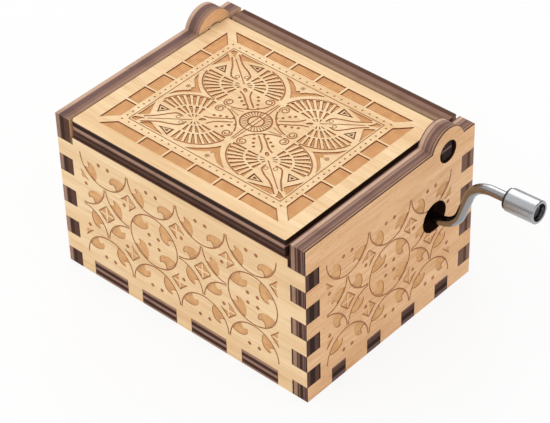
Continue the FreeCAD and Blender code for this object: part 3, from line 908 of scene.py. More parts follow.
@dataclass
class ScrollLattice:
    """The walls' ornament: rings and arches with comma leaves, and small crossed diamonds between."""

    columns: int
    pitch: float
    row_pitch: float
    line_width: float = 0.3 * MM
    ring_gap: float = 0.05 * MM
    leaf_gap: float = 0.09 * MM
    leaf_rim: float = 0.07 * MM
    dot_radius: float = 0.45 * MM
    dot_spread: float = 1.25 * MM
    arch_dot_drop: float = 1.0 * MM
    tail_lead: float = 24.0
    arch_leaf: float = 0.88
    diamond_reach: float = 2.3 * MM
    diamond_side: float = 0.42 * MM
    diamond_cross: float = 0.5 * MM
    diamond_gap: float = 0.03 * MM
    field_overlap: float = 0.4
    small_diamond: float = 0.93
    side_dot: float = 5.3 * MM

    @property
    def _squash(self) -> float:
        """How much narrower than high a ring is."""
        return self.pitch / self.row_pitch

    def _column_places(self) -> list[float]:
        """Middles of the columns along X."""
        return [(index - (self.columns - 1) / 2) * self.pitch for index in range(self.columns)]

    @staticmethod
    def _has_ring(column: int) -> bool:
        """Whether a column's middle row is a ring and not a hollow diamond."""
        return column % 2 == 1

    def _circles(self) -> Iterator[tuple[float, float, tuple[int, ...]]]:
        """Gives the whole and part circles of the lattice.

        Yields:
            A circle's X and Y, and the diagonals that carry a leaf.
        """
        for column, x in enumerate(self._column_places()):
            yield x, self.row_pitch, (225, 315)
            yield x, -self.row_pitch, (45, 135)
            if self._has_ring(column):
                yield x, 0, (45, 135, 225, 315)
                continue
            for side_x, side_y, diagonal in ((1, 1, 225), (-1, 1, 315), (-1, -1, 45), (1, -1, 135)):
                yield x + side_x * self.pitch / 2, side_y * self.row_pitch / 2, (diagonal,)

    def _lines(self, stencil: Stencil) -> None:
        """Stamps the rings, the arches and the hollow diamonds' arcs.

        Args:
            stencil: The layer that they go into.
        """
        radius = self.row_pitch / 2 - self.ring_gap - self.line_width / 2
        leads = {4: 45, 2: 45, 1: 43}  # by how many leaves a circle has: from its first leaf to its end
        arcs = {4: stencil.arc(radius, self.line_width, 360, 56),
                2: stencil.arc(radius, self.line_width, 180, 28),
                1: stencil.arc(radius, self.line_width, 86, 14)}
        for x, y, diagonals in self._circles():
            leaves = len(diagonals)
            place = at(x, y, 0, (self._squash, 1)) @ at(0, 0, diagonals[0] - leads[leaves])
            stencil.stamp(arcs[leaves], place)

    def _leaves(self, stencil: Stencil) -> None:
        """Stamps the leaves, which all turn the same way inside their circles.

        Args:
            stencil: The layer that they go into.
        """
        radius = self.row_pitch / 2 - self.ring_gap - self.line_width / 2 - self.leaf_gap
        leaves = {size: stencil.outline([on_ring(knot, radius, size) for knot in COMMA_LEAF])
                  for size in (1.0, self.arch_leaf)}
        for x, y, diagonals in self._circles():
            size = 1.0 if len(diagonals) == 4 else self.arch_leaf
            for diagonal in diagonals:
                tail = diagonal - 90 + self.tail_lead * size
                stencil.stamp(leaves[size], at(x, y, 0, (self._squash, 1)) @ at(0, 0, tail))

    def _dots(self, stencil: Stencil) -> None:
        """Stamps the dots in the rings, the arches and the hollow diamonds.

        Args:
            stencil: The layer that they go into.
        """
        dot = stencil.dot(self.dot_radius)
        spread = self.dot_spread * self._squash
        for column, x in enumerate(self._column_places()):
            for side_x, side_y in CORNERS:
                stencil.stamp(dot, at(x + side_x * spread, side_y * (self.row_pitch - self.arch_dot_drop)))
                if self._has_ring(column):
                    stencil.stamp(dot, at(x + side_x * spread, side_y * self.dot_spread))
                else:
                    stencil.stamp(dot, at(x + side_x * self.side_dot, side_y * self.side_dot))

    def _quarters(self) -> Iterator[Matrix]:
        """Gives the places of all the diamonds' quarters.

        Yields:
            A place for what is drawn for the +X +Y side.
        """
        places = self._column_places()
        for column, x in enumerate(places):
            if not self._has_ring(column):
                for side_x, side_y in CORNERS:
                    yield at(x, 0, 0, (side_x * self._squash, side_y))
        for index in range(self.columns + 1):
            x = places[0] + (index - 0.5) * self.pitch
            for row, (side_x, side_y) in product((-1, 1), CORNERS):
                column = index - 1 if side_x < 0 else index
                in_panel = 0 <= column < self.columns
                if in_panel and (side_y == row or self._has_ring(column)):
                    size = (side_x * self.small_diamond * self._squash, side_y * self.small_diamond)
                    yield at(x, row * self.row_pitch / 2, 0, size)

    def _diamond_sides(self, stencil: Stencil) -> None:
        """Stamps the thick sides of the diamonds.

        Args:
            stencil: The layer that they go into.
        """
        reach, gap = self.diamond_reach / MM, self.diamond_gap / MM
        inner = reach - self.diamond_side / MM
        side = stencil.outline([((reach, gap),), ((gap, reach),), ((gap, inner),), ((inner, gap),)],
                               sharp=True, bottom=Floor.SCORED)
        for place in self._quarters():
            stencil.stamp(side, place)

    def _diamond_fields(self, stencil: Stencil) -> None:
        """Stamps the triangles inside the diamonds, which leave a cross standing between them.

        Args:
            stencil: The layer that they go into.
        """
        gap = self.diamond_cross / 2 / MM
        reach = (self.diamond_reach - (1 - self.field_overlap) * self.diamond_side) / MM - gap
        field_piece = stencil.outline([((gap, gap),), ((reach, gap),), ((gap, reach),)], sharp=True,
                                      bottom=Floor.TOASTED)
        for place in self._quarters():
            stencil.stamp(field_piece, place)

    def engrave(self, panel: Piece, plane: Matrix, scored: Material, floor: Material) -> None:
        """Cuts the whole lattice into a panel.

        Args:
            panel: The wall's object.
            plane: The middle of the ornament on the wall's outer face.
            scored: The finish of the lines and rims.
            floor: The finish of the leaves' floors.
        """
        layers = ((self._lines, 0.11), (self._leaves, 0.12), (self._dots, 0.10),
                  (self._diamond_sides, 0.13), (self._diamond_fields, 0.08))
        for step, depth in layers:
            stencil = Stencil("scroll" + step.__name__, depth * MM, scored, floor, self.leaf_rim)
            step(stencil)
            stencil.cut(panel, plane)


def shrunk(knots: Knots, share: float) -> Knots:
    """Draws an outline of straight sides smaller about its middle.

    Args:
        knots: The outline.
        share: Its new size as a share of the old one.

    Returns:
        The smaller outline.
    """
    middle = [sum(knot[0][axis] for knot in knots) / len(knots) for axis in (0, 1)]
    return [(tuple(m + share * (value - m) for m, value in zip(middle, knot[0])),) for knot in knots]


@dataclass
class RoundelField:
    """The lid's ornament: a border of blocks round four roundels with rays, and a star between them."""

    fine: Material
    border: tuple[float, float] = (24.6 * MM, 19.75 * MM)
    side_block_width: float = 3.05 * MM
    end_block_width: float = 2.65 * MM
    block_pitch: tuple[float, float] = (6.56 * MM, 5.39 * MM)
    block_gap: float = 0.5 * MM
    mitre_gap: float = 1.3 * MM
    short_blocks: int = 4
    dot_frame: tuple[float, float] = (20.7 * MM, 16.05 * MM)
    dot_count: tuple[int, int] = (23, 21)
    small_dot: float = 0.22 * MM
    stem_dot: float = 0.34 * MM
    line_frame: tuple[float, float] = (19.85 * MM, 15.25 * MM)
    line_width: float = 0.2 * MM
    arc_width: float = 0.36 * MM
    roundel: tuple[float, float] = (9.8 * MM, 7.2 * MM)
    radius: float = 9.0 * MM
    squash: float = 0.79
    curl_radius: float = 1.12 * MM
    curl_step: float = 0.062 * MM
    curl_steps: int = 14
    curl_turn: float = 45.0
    curl_width: float = 0.28 * MM
    eye_radius: float = 0.42 * MM
    eye_width: float = 0.16 * MM
    end_eye: float = 13.9 * MM
    side_eye: float = 18.1 * MM
    triangle_hole: float = 0.62
    triangle_core: float = 0.34
    rosette_radius: float = 3.3 * MM
    rosette_core: float = 0.5
    rosette_rays: int = 28
    rosette_reach: tuple[float, float] = (0.56, 0.94)
    rosette_ray_widths: tuple[float, float] = (0.16 * MM, 0.24 * MM)
    rosette_squash: float = 0.93
    band_width: float = 0.24 * MM
    band_clearance: float = 0.17

    @staticmethod
    def _quadrants() -> Iterator[Matrix]:
        """Mirrors that carry what is drawn for the +X +Y quarter into all four."""
        for side_x, side_y in product((1, -1), repeat=2):
            yield flip(side_x, side_y)

    def _eyes(self) -> Iterator[Matrix]:
        """Places of the small round eyes in the fields at the sides."""
        for side in (1, -1):
            yield at(0, side * self.end_eye)
            yield at(side * self.side_eye, 0)

    def _border(self, stencil: Stencil) -> None:
        """Stamps the hatched blocks, the corner ones mitred.

        Args:
            stencil: The layer that they go into.
        """
        for turned in (False, True):
            reach, across = (self.border[1], self.border[0]) if turned else self.border
            width = self.side_block_width if turned else self.end_block_width
            pitch = self.block_pitch[1 if turned else 0]
            row = across - width / 2
            turn = at(0, 0, 90) @ flip(1, -1) if turned else Matrix.Identity(4)
            short = stencil.block(pitch - self.block_gap, width)
            start = self.short_blocks / 2 * pitch + self.block_gap / 2
            end = reach - self.mitre_gap
            corner = stencil.block(end - start, width, width)
            for side_y in (1, -1):
                for index in range(self.short_blocks):
                    x = (index - (self.short_blocks - 1) / 2) * pitch
                    stencil.stamp(short, turn @ at(x, side_y * row))
                for side_x in (1, -1):
                    stencil.stamp(corner, turn @ flip(side_x, side_y) @ at(-(start + end) / 2, row))

    def _fans(self, stencil: Stencil) -> None:
        """Stamps the two quarters of rays of each roundel.

        Args:
            stencil: The layer that they go into.
        """
        rows = [(count, stencil.wedge(tuple(share * self.radius for share in reach),
                                      tuple(width * MM for width in widths), bottom))
                for count, reach, widths, bottom in FAN_ROWS]
        for quadrant in self._quadrants():
            roundel = quadrant @ at(*self.roundel, 0, (1, self.squash))
            for fan, (count, ray) in product((90, 270), rows):
                for index in range(count):
                    stencil.stamp(ray, roundel @ at(0, 0, fan + 90 * (index + 0.5) / count))

    def _fills(self, stencil: Stencil) -> None:
        """Stamps the toasted fields at the sides and corners, and the small triangles and buds.

        Args:
            stencil: The layer that they go into.
        """
        end_field = stencil.outline(END_FIELD, bottom=Floor.TOASTED)
        side_field = stencil.outline(SIDE_FIELD, bottom=Floor.TOASTED)
        corner_pieces = [stencil.outline(knots, bottom=Floor.TOASTED) for knots in CORNER_FIELDS]
        for knots in CORNER_TRIANGLES:
            hole, core = shrunk(knots, self.triangle_hole), shrunk(knots, self.triangle_core)
            corner_pieces += [stencil.outline(knots, hole, sharp=True, bottom=Floor.SCORED),
                              stencil.outline(core, sharp=True, bottom=Floor.SCORED)]
        bud = stencil.outline(BUD)
        inward = math.degrees(math.atan2(-self.roundel[1], -self.roundel[0]))
        for side in (1, -1):
            stencil.stamp(end_field, flip(1, side))
            stencil.stamp(side_field, flip(side, 1))
        for quadrant in self._quadrants():
            for piece in corner_pieces:
                stencil.stamp(piece, quadrant)
            stencil.stamp(bud, quadrant @ at(*self.roundel, inward))

    def _lines(self, stencil: Stencil) -> None:
        """Stamps the thin frame, the roundels' arcs, the stems and the spears.

        Args:
            stencil: The layer that they go into.
        """
        width, height = (value / MM for value in self.line_frame)
        thin = self.line_width / MM
        corners = [((width, height),), ((-width, height),), ((-width, -height),), ((width, -height),)]
        inner = [((x - math.copysign(thin, x), y - math.copysign(thin, y)),) for ((x, y),) in corners]
        stencil.stamp(stencil.outline(corners, inner, sharp=True, bottom=Floor.SCORED), at(0, 0))
        arcs = [(stencil.arc(self.radius, self.arc_width, sweep, steps), starts)
                for sweep, steps, starts in ROUNDEL_ARCS]
        strokes = [stencil.stroke(points, width * MM) for width, points in QUARTER_LINES]
        for quadrant in self._quadrants():
            roundel = quadrant @ at(*self.roundel, 0, (1, self.squash))
            for arc, starts in arcs:
                for start in starts:
                    stencil.stamp(arc, roundel @ at(0, 0, start))
            for stroke in strokes:
                stencil.stamp(stroke, quadrant)

    def _dots(self, stencil: Stencil) -> None:
        """Stamps the rows of dots in the border, those by the stems and in the eyes, and the rosette.

        Args:
            stencil: The layer that they go into.
        """
        small = stencil.dot(self.small_dot, 8)
        large = stencil.dot(self.stem_dot, 10)
        for side in (1, -1):
            for index in range(self.dot_count[0] + 1):
                x = (2 * index / self.dot_count[0] - 1) * self.dot_frame[0]
                stencil.stamp(small, at(x, side * self.dot_frame[1]))
            for index in range(1, self.dot_count[1]):
                y = (2 * index / self.dot_count[1] - 1) * self.dot_frame[1]
                stencil.stamp(small, at(side * self.dot_frame[0], y))
        for place in self._eyes():
            stencil.stamp(small, place)
        for quadrant, (x, y) in product(self._quadrants(), STEM_DOTS):
            stencil.stamp(large, quadrant @ at(x * MM, y * MM))
        self._rosette(stencil)

    def _rosette(self, stencil: Stencil) -> None:
        """Stamps the rosette's two rings and its rays, but for those in the upright band.

        Args:
            stencil: The layer that they go into.
        """
        oval = at(0, 0, 0, (1, self.rosette_squash))
        for share, steps in ((1.0, 48), (self.rosette_core, 32)):
            stencil.stamp(stencil.arc(share * self.rosette_radius, self.arc_width, 360, steps), oval)
        ray = stencil.wedge(tuple(share * self.rosette_radius for share in self.rosette_reach),
                            self.rosette_ray_widths, Floor.SCORED)
        for index in range(self.rosette_rays):
            angle = 360 * (index + 0.5) / self.rosette_rays
            if abs(math.cos(math.radians(angle))) > self.band_clearance:
                stencil.stamp(ray, oval @ at(0, 0, angle))

    def _curls(self, stencil: Stencil) -> None:
        """Stamps the spirals, the small rings and the rosette's upright band.

        Args:
            stencil: The layer that they go into.
        """
        turns = [((self.curl_radius - self.curl_step * step) / MM, math.radians(self.curl_turn * step))
                 for step in range(self.curl_steps)]
        curl = stencil.stroke(tuple((r * math.cos(a), r * math.sin(a)) for r, a in turns), self.curl_width)
        ring = stencil.arc(self.eye_radius, self.eye_width, 360, 14)
        for quadrant in self._quadrants():
            for x, y, turn, side in CURL_PLACES:
                stencil.stamp(curl, quadrant @ at(x * MM, y * MM, turn, (1, side)))
            for x, y in SPEAR_RINGS:
                stencil.stamp(ring, quadrant @ at(x * MM, y * MM))
        for place in self._eyes():
            stencil.stamp(ring, place)
        band = stencil.stroke(ROSETTE_BAND, self.band_width)
        for side in (1, -1):
            stencil.stamp(band, flip(side, 1))

    def engrave(self, panel: Piece, plane: Matrix, scored: Material, floor: Material) -> None:
        """Cuts the whole ornament into the lid.

        Args:
            panel: The lid's object.
            plane: The middle of the ornament on the lid's upper face.
            scored: The finish of the rims; the thin lines have the lighter one.
            floor: The finish of the wide shapes' floors.
        """
        layers = ((self._border, 0.22, 0.16, scored), (self._fans, 0.18, 0.15, scored),
                  (self._fills, 0.20, 0.12, scored), (self._lines, 0.10, 0.1, self.fine),
                  (self._dots, 0.12, 0.1, self.fine), (self._curls, 0.08, 0.1, self.fine))
        for step, depth, rim, line in layers:
            stencil = Stencil("roundel" + step.__name__, depth * MM, line, floor, rim * MM)
            step(stencil)
            stencil.cut(panel, plane)


# The rows of rays in a quarter of a roundel: how many, where they start and end as shares of the
# roundel's radius, how wide they are there in mm, and what their floor looks like.
FAN_ROWS = (
    (9, (0.60, 0.97), (0.42, 0.92), Floor.RIMMED),
    (5, (0.27, 0.54), (0.32, 0.78), Floor.RIMMED),
    (3, (0.10, 0.21), (0.16, 0.34), Floor.SCORED),
)
# The arcs round a roundel: the angle that one covers, its steps, and the angles where copies start.
ROUNDEL_ARCS = ((74, 16, (98, 278)), (56, 14, (197,)))
# The spirals in one quarter: X and Y in mm, the turn, and -1 where it is mirrored.
CURL_PLACES = ((8.3, 1.3, 222, 1), (2.0, 6.25, 235, -1))
ROSETTE_BAND = ((0.2, -6.8), (0.45, 0.0), (0.2, 6.8))
# Outlines of the lid's toasted fields, about the middle of the lid's ornament, in mm.
END_FIELD = [
    ((-5.2, 14.75), (-4.2, 14.5), (-3.0, 13.4)),
    ((0.0, 9.9), (-0.9, 11.6), (0.9, 11.6)),
    ((5.2, 14.75), (3.0, 13.4), (4.2, 14.5)),
    ((2.6, 14.1), (3.4, 14.6), (2.2, 13.7)),
    ((1.15, 13.1), (1.6, 13.5), (1.0, 12.9)),
    ((0.55, 12.35), (0.8, 12.9), (0.4, 12.6)),
    ((0.0, 12.95), (0.2, 12.9), (-0.2, 12.9)),
    ((-0.55, 12.35), (-0.4, 12.6), (-0.8, 12.9)),
    ((-1.15, 13.1), (-1.0, 12.9), (-1.6, 13.5)),
    ((-2.6, 14.1), (-2.2, 13.7), (-3.4, 14.6)),
]
SIDE_FIELD = [
    ((19.4, 4.6), (19.1, 3.6), (18.2, 2.6)),
    ((14.5, 0.0), (16.2, 0.9), (16.2, -0.9)),
    ((19.4, -4.6), (18.2, -2.6), (19.1, -3.6)),
    ((18.6, -2.3), (19.2, -3.0), (18.2, -1.9)),
    ((17.3, -1.05), (17.7, -1.4), (17.1, -0.9)),
    ((16.75, -0.5), (17.3, -0.7), (17.0, -0.35)),
    ((17.25, 0.0), (17.2, -0.2), (17.2, 0.2)),
    ((16.75, 0.5), (17.0, 0.35), (17.3, 0.7)),
    ((17.3, 1.05), (17.1, 0.9), (17.7, 1.4)),
    ((18.6, 2.3), (18.2, 1.9), (19.2, 3.0)),
]
CORNER_FIELDS = [
    [((17.2, 14.75), (16.9, 14.2), (15.2, 14.75)), ((10.9, 14.75), (12.8, 14.75), (12.4, 14.3)),
     ((15.4, 13.25), (14.0, 13.9), (16.0, 13.1))],
    [((19.4, 13.0), (19.4, 11.2), (18.8, 12.7)), ((17.55, 11.7), (18.0, 12.2), (17.4, 11.4)),
     ((19.4, 7.9), (18.7, 9.6), (19.4, 9.4))],
    [((17.3, 13.05), (17.85, 13.55), (18.0, 13.1)), ((19.4, 13.85), (18.8, 13.6), (19.4, 14.1)),
     ((19.4, 14.75), (19.4, 14.5), (19.1, 14.75)), ((18.2, 14.75), (18.6, 14.75), (18.2, 14.2))],
]
CORNER_TRIANGLES = [
    [((10.4, 14.2),), ((10.4, 12.0),), ((13.7, 13.05),)],
    [((18.3, 7.9),), ((15.4, 7.9),), ((17.0, 10.1),)],
]
BUD = [
    ((0.95, 0.0), (0.95, 0.22), (0.95, -0.22)),
    ((1.70, -0.4), (1.30, -0.4), (2.10, -0.4)),
    ((2.45, 0.0), (2.35, -0.15), (2.35, 0.15)),
    ((1.70, 0.4), (2.10, 0.4), (1.30, 0.4)),
]
SPEAR_RINGS = ((11.1, 9.5), (12.7, 8.55))
STEM_DOTS = (
    (4.06, 2.0), (5.4, 2.5), (6.55, 3.1), (7.65, 3.7),
    (2.44, 3.25), (3.3, 4.2), (4.1, 5.3), (4.9, 6.1),
)
# Lines in one quarter of the lid's ornament: a width and the points that it runs through, in mm.
QUARTER_LINES = (
    (0.36, ((10.4, 8.7), (10.5, 9.9), (11.55, 10.8), (14.6, 12.2), (17.4, 14.3))),
    (0.36, ((12.1, 7.85), (13.6, 7.85), (14.6, 8.8), (16.0, 10.7), (18.0, 12.7))),
    (0.24, ((9.9, 7.5), (17.0, 12.75))),
    (0.34, ((3.3, 2.95), (4.9, 4.1), (6.4, 5.4), (7.1, 6.7))),
    (0.34, ((4.2, 2.4), (5.9, 3.5), (7.5, 4.7), (9.0, 5.3))),
    (0.18, ((6.6, 0.13), (3.9, 0.78))),
)


# ---------------------------------------------------------------- case


# Round holes of the side walls: Y and Z of the middle, and a reach just past the rim.
HINGE_BORE = (16.7 * MM, 36.1 * MM, 2.7 * MM)
CRANK_BORE = (13.0 * MM, 22.1 * MM, 3.6 * MM)

# How far the laser scorched a ply at a cut edge, from black to barely toasted.
CHARRED = tone(44, 24, 17)
BURNT = tone(68, 41, 30)
SCORCHED = tone(94, 63, 50)
SMOKED = tone(122, 92, 86)
BROWNED = tone(128, 94, 76)
TANNED = tone(146, 112, 96)
TOASTED = tone(168, 132, 112)
PALE = tone(210, 174, 150)

# Stripes of the cut edges: a width in millimetres and a colour, from the panel's outer face inwards.
BACK_TOP = ((0.20, TANNED), (1.00, SCORCHED), (1.10, TANNED), (0.75, BROWNED), (0.35, TANNED),
            (0.40, TOASTED))
BACK_ENDS = ((0.30, TOASTED), (0.90, TANNED), (0.90, SCORCHED), (0.80, BROWNED), (0.90, SMOKED))
FRONT_ENDS = ((0.85, SCORCHED), (0.20, BURNT), (1.25, CHARRED), (1.05, SCORCHED), (0.20, BURNT),
              (0.25, CHARRED))
LEFT_TOP = ((0.87, PALE), (0.18, TOASTED), (1.25, SMOKED), (0.85, TANNED), (0.65, TOASTED))
LEFT_ENDS = ((1.05, TOASTED), (0.20, SMOKED), (1.05, BURNT), (1.50, SCORCHED))
RIGHT_TOP = ((0.22, BURNT), (0.40, TOASTED), (0.16, SCORCHED), (0.60, TANNED), (0.70, SMOKED),
             (0.55, TOASTED), (0.15, BROWNED), (0.75, PALE), (0.27, SMOKED))
RIGHT_ENDS = ((0.22, CHARRED), (0.25, SMOKED), (0.16, BURNT), (0.48, SMOKED), (0.75, BURNT),
              (0.35, BROWNED), (0.20, BURNT), (0.20, BROWNED), (0.85, TOASTED), (0.34, BURNT))
LID_EDGE = ((0.15, SMOKED), (0.90, CHARRED), (0.20, SCORCHED), (0.65, TOASTED), (0.20, TANNED),
            (0.75, BURNT), (0.45, SCORCHED), (0.50, BURNT))
# Nearly all charred: real char of the cut, darkened further as painted shade inside the round holes.
BORE_CHAR_AND_SHADE = ((1.30, CHARRED), (0.40, BURNT), (2.10, CHARRED))
# The lid's right end, its crown, is charred and darkened further as painted shade of the gap beside it and
# of the hinge hole.
LID_END_CHAR_AND_SHADE = ((1.20, CHARRED), (0.50, SMOKED), (2.10, CHARRED))
FLOOR_FRONT = ((0.55, TOASTED), (0.90, BURNT), (0.20, SMOKED), (0.45, TOASTED), (0.20, SMOKED),
               (0.70, BURNT), (0.20, SCORCHED), (0.60, TOASTED))
FLOOR_RIGHT = ((1.05, SMOKED), (0.20, BURNT), (1.00, CHARRED), (1.10, SCORCHED), (0.45, SMOKED))


@dataclass
class Panel:
    """One plywood panel, copied from its CAD node, softened, engraved and dressed."""

    node: str
    across: Axis
    grain: Axis
    outward: int
    end_stripes: Stripes
    crown_stripes: Stripes
    crown: Axis = Axis.Z
    body: str = "case"
    veneer: Callable[[str, Axis], PaleVeneer] = PaleVeneer
    bores: tuple[Triple, ...] = ()
    edge_softness: float = 0.05 * MM
    edge_angle: float = math.radians(40)
    smooth_angle: float = math.radians(24)
    face_flatness: float = 0.98
    crown_rise: float = 0.25

    def _dress(self, panel: Piece) -> None:
        """Gives the panel its veneer and its burnt ends, crown and bores; the bores, and the lid's right
        end as its crown, are darkened partly as painted shade.

        Args:
            panel: The panel's object.
        """
        low, high = (corner[self.across.value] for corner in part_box(self.node))
        burns = (("burnt_end_", self.end_stripes[::-self.outward]),
                 ("burnt_crown_", self.crown_stripes[::-self.outward]), ("burnt_bore_", BORE_CHAR_AND_SHADE))
        finishes = [self.veneer("pale_veneer_" + self.node, self.grain)]
        finishes += [BurntEdge(name + self.node, self.across, low, high, stripes)
                     for name, stripes in burns]
        panel.data.materials.clear()
        for finish in finishes:
            panel.data.materials.append(finish.make())
        for face in panel.data.polygons:
            is_crown = face.normal[self.crown.value] > self.crown_rise
            is_face = abs(face.normal[self.across.value]) > self.face_flatness
            is_bore = any(math.hypot(face.center.y - y, face.center.z - z) < radius
                          for y, z, radius in self.bores)
            face.material_index = 0 if is_face else 3 if is_bore else 2 if is_crown else 1

    def build(self) -> Piece:
        """Models the panel and dresses its faces and edges.

        Returns:
            The panel's object.
        """
        panel = placed(self.node + "_ply", bpy.data.objects[self.node].data.copy())
        with editing(panel):
            bpy.ops.mesh.select_all(action="SELECT")
            bpy.ops.mesh.customdata_custom_splitnormals_clear()
            bpy.ops.mesh.remove_doubles(threshold=2 * MERGE_REACH)
            bpy.ops.mesh.dissolve_limited(angle_limit=2 * FINE_ANGLE)
        modify(panel, "BEVEL", width=self.edge_softness, segments=1, limit_method="ANGLE",
               angle_limit=self.edge_angle)
        self._dress(panel)
        return panel

    def finish(self, panel: Piece) -> None:
        """Smooths the panel's round edges and ties it to the frame.

        Args:
            panel: The panel's object.
        """
        only(panel)
        bpy.ops.object.shade_smooth_by_angle(angle=self.smooth_angle)
        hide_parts(self.node)
        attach(panel, self.body)
        LOG.info("%s: %d faces", panel.name, len(panel.data.polygons))


def facing(origin: Vector, along: Triple, up: Triple) -> Matrix:
    """Gives the plane of a face.

    Args:
        origin: Where the plane's origin lies.
        along: The direction of its X.
        up: The direction of its Y.

    Returns:
        The plane.
    """
    x_axis = Vector(along)
    y_axis = Vector(up)
    turn = Matrix((x_axis, y_axis, x_axis.cross(y_axis))).transposed().to_4x4()
    return Matrix.Translation(origin) @ turn


@dataclass
class Case:
    """The finger-jointed box of six plywood panels."""

    front_pattern_height: float = 18.6 * MM
    side_pattern_height: float = 18.2 * MM
    front_pattern_shift: float = -0.5 * MM
    side_pattern_shift: float = -0.65 * MM
    front_pitch: float = 13.0 * MM
    side_pitch: float = 12.45 * MM
    row_pitch: float = 12.85 * MM
    lid_pattern_place: tuple[float, float] = (-0.33 * MM, -1.87 * MM)
    lid_hatch_pitch: float = 0.45 * MM

    def _walls(self) -> list[tuple[Panel, ScrollLattice, Matrix]]:
        """Gives the walls.

        Returns:
            For each wall its panel, its ornament and the plane that this is drawn on.
        """
        low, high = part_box("front_wall")[0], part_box("back_wall")[1]
        up = (0, 0, 1)
        front_place = (self.front_pattern_shift, low.y, self.front_pattern_height)
        back_place = (self.front_pattern_shift, high.y, self.front_pattern_height)
        right_place = (high.x, self.side_pattern_shift, self.side_pattern_height)
        left_place = (low.x, self.side_pattern_shift, self.side_pattern_height)
        wide = ScrollLattice(4, self.front_pitch, self.row_pitch)
        narrow = ScrollLattice(3, self.side_pitch, self.row_pitch)
        return [
            (Panel("front_wall", Axis.Y, Axis.X, -1, FRONT_ENDS, BACK_TOP),
             wide, facing(front_place, (1, 0, 0), up)),
            (Panel("right_wall", Axis.X, Axis.Y, 1, RIGHT_ENDS, RIGHT_TOP, veneer=flecked_veneer,
                   bores=(HINGE_BORE, CRANK_BORE)), narrow, facing(right_place, (0, 1, 0), up)),
            (Panel("back_wall", Axis.Y, Axis.X, 1, BACK_ENDS, BACK_TOP),
             wide, facing(back_place, (-1, 0, 0), up)),
            (Panel("left_wall", Axis.X, Axis.Y, -1, LEFT_ENDS, LEFT_TOP, veneer=flecked_veneer,
                   bores=(HINGE_BORE,)), narrow, facing(left_place, (0, -1, 0), up)),
        ]

    def _lid(self) -> None:
        """Builds the lid with its ornament."""
        # The lid's crown is its right end, whose near-black stripes are partly painted shade.
        lid = Panel("lid", Axis.Z, Axis.X, 1, LID_EDGE, LID_END_CHAR_AND_SHADE, Axis.X, "lid")
        panel = lid.build()
        top = facing((*self.lid_pattern_place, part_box("lid")[1].z), (1, 0, 0), (0, 1, 0))
        hatched = RasterFloor("raster_floor_lid", Axis.Y, self.lid_hatch_pitch, tone(244, 190, 132),
                              tone(196, 136, 82))
        rim = ScoredLine("scored_rim", tone(166, 100, 56), tone(124, 70, 36))
        fine = ScoredLine("scored_lid_line", tone(192, 124, 70), tone(150, 88, 44))
        RoundelField(fine.make()).engrave(panel, top, rim.make(), hatched.make())
        lid.finish(panel)

    def build(self) -> None:
        """Builds all the panels."""
        scored = ScoredLine("scored_line").make()
        floor_level = RasterFloor("raster_floor_walls", Axis.Z).make()
        for wall, lattice, plane in self._walls():
            panel = wall.build()
            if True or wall.node in ("front_wall", "right_wall"):
                lattice.engrave(panel, plane, scored, floor_level)
            wall.finish(panel)
        floor = Panel("bottom_plate", Axis.Z, Axis.X, -1, FLOOR_FRONT, FLOOR_RIGHT, Axis.X)
        floor.finish(floor.build())
        self._lid()


# ---------------------------------------------------------------- movement, crank and knob


def dress(nodes: dict[str, Piece], names: list[str], finish: Metal) -> None:
    """Gives CAD nodes a finish in place of their plain one.

    Args:
        nodes: The frame's nodes by name.
        names: The nodes to dress.
        finish: What they are made of.
    """
    material = finish.make()
    for name in names:
        mesh = nodes[name].data
        mesh.materials.clear()
        mesh.materials.append(material)
        LOG.info("%s: %s", name, finish.name)


@dataclass
class Movement:
    """The pinned cylinder, its comb and what carries them."""

    nodes: dict[str, Piece]

    def dress(self) -> None:
        """Finishes every node of the movement."""
        gold = Metal("gold_lacquer", tone(196, 160, 92), 0.38, mark_width=0.3 * MM, mark_length=0.5 * MM)
        plated = Metal("plated_sheet", tone(176, 176, 178), 0.30, Axis.X)
        ground = Metal("ground_comb_steel", tone(198, 200, 204), 0.22, Axis.Y, mark_width=0.05 * MM)
        zinc = Metal("zinc_screws", tone(184, 184, 186), 0.28, Axis.X, mark_length=1 * MM)
        lead = Metal("cast_lead", tone(104, 104, 108), 0.55, mark_length=0.4 * MM, mark_width=0.4 * MM)
        brass = Metal("turned_brass", tone(214, 176, 96), 0.22, Axis.X, mark_width=0.1 * MM)
        bronze = Metal("sintered_bronze", tone(168, 120, 74), 0.45, mark_length=0.2 * MM,
                       mark_width=0.2 * MM)
        shaft = Metal("turned_shaft", tone(166, 166, 170), 0.25, Axis.X, mark_length=0.6 * MM)
        for finish, names in (
            (gold, ["bedplate"]),
            (plated, ["front_bracket", "crank_bracket"]),
            (ground, ["comb"]),
            (zinc, ["mounting_screws", "comb_screws", "front_bracket_screws", "crank_bracket_screws"]),
            (lead, ["tuning_weights"]),
            (brass, ["drum", "front_cap", "rear_cap", "worm_wheel", "worm"]),
            (bronze, ["arbor_bushes", "crank_bushes"]),
            (shaft, ["melody_pins", "cylinder_arbor", "crank_clip"]),
        ):
            dress(self.nodes, names, finish)


@dataclass
class Crank:
    """The bent rod with its turning knob."""

    nodes: dict[str, Piece]

    def dress(self) -> None:
        """Finishes the rod, the knob and its washers, whose dark grey is painted shade at the knob's ends.
        """
        polished = Metal("polished_rod", tone(150, 150, 151), 0.12, Axis.X, mark_depth=0, dulling=0.04)
        satin = Metal("satin_knob", tone(170, 171, 173), 0.24, Axis.X, mark_length=0.08 * MM,
                      mark_width=8 * MM, mark_depth=0.001 * MM, dulling=0.04)
        # The washers' dark grey is painted shade: it stands for the shadow inside the knob's end recess
        # and behind the knob.
        dark = Metal("dark_washer", tone(70, 70, 72), 0.3, Axis.Z, mark_length=0.5 * MM)
        dress(self.nodes, ["crank_rod"], polished)
        dress(self.nodes, ["knob_sleeve"], satin)
        dress(self.nodes, ["knob_end_washer", "knob_back_washer"], dark)


# ---------------------------------------------------------------- studio


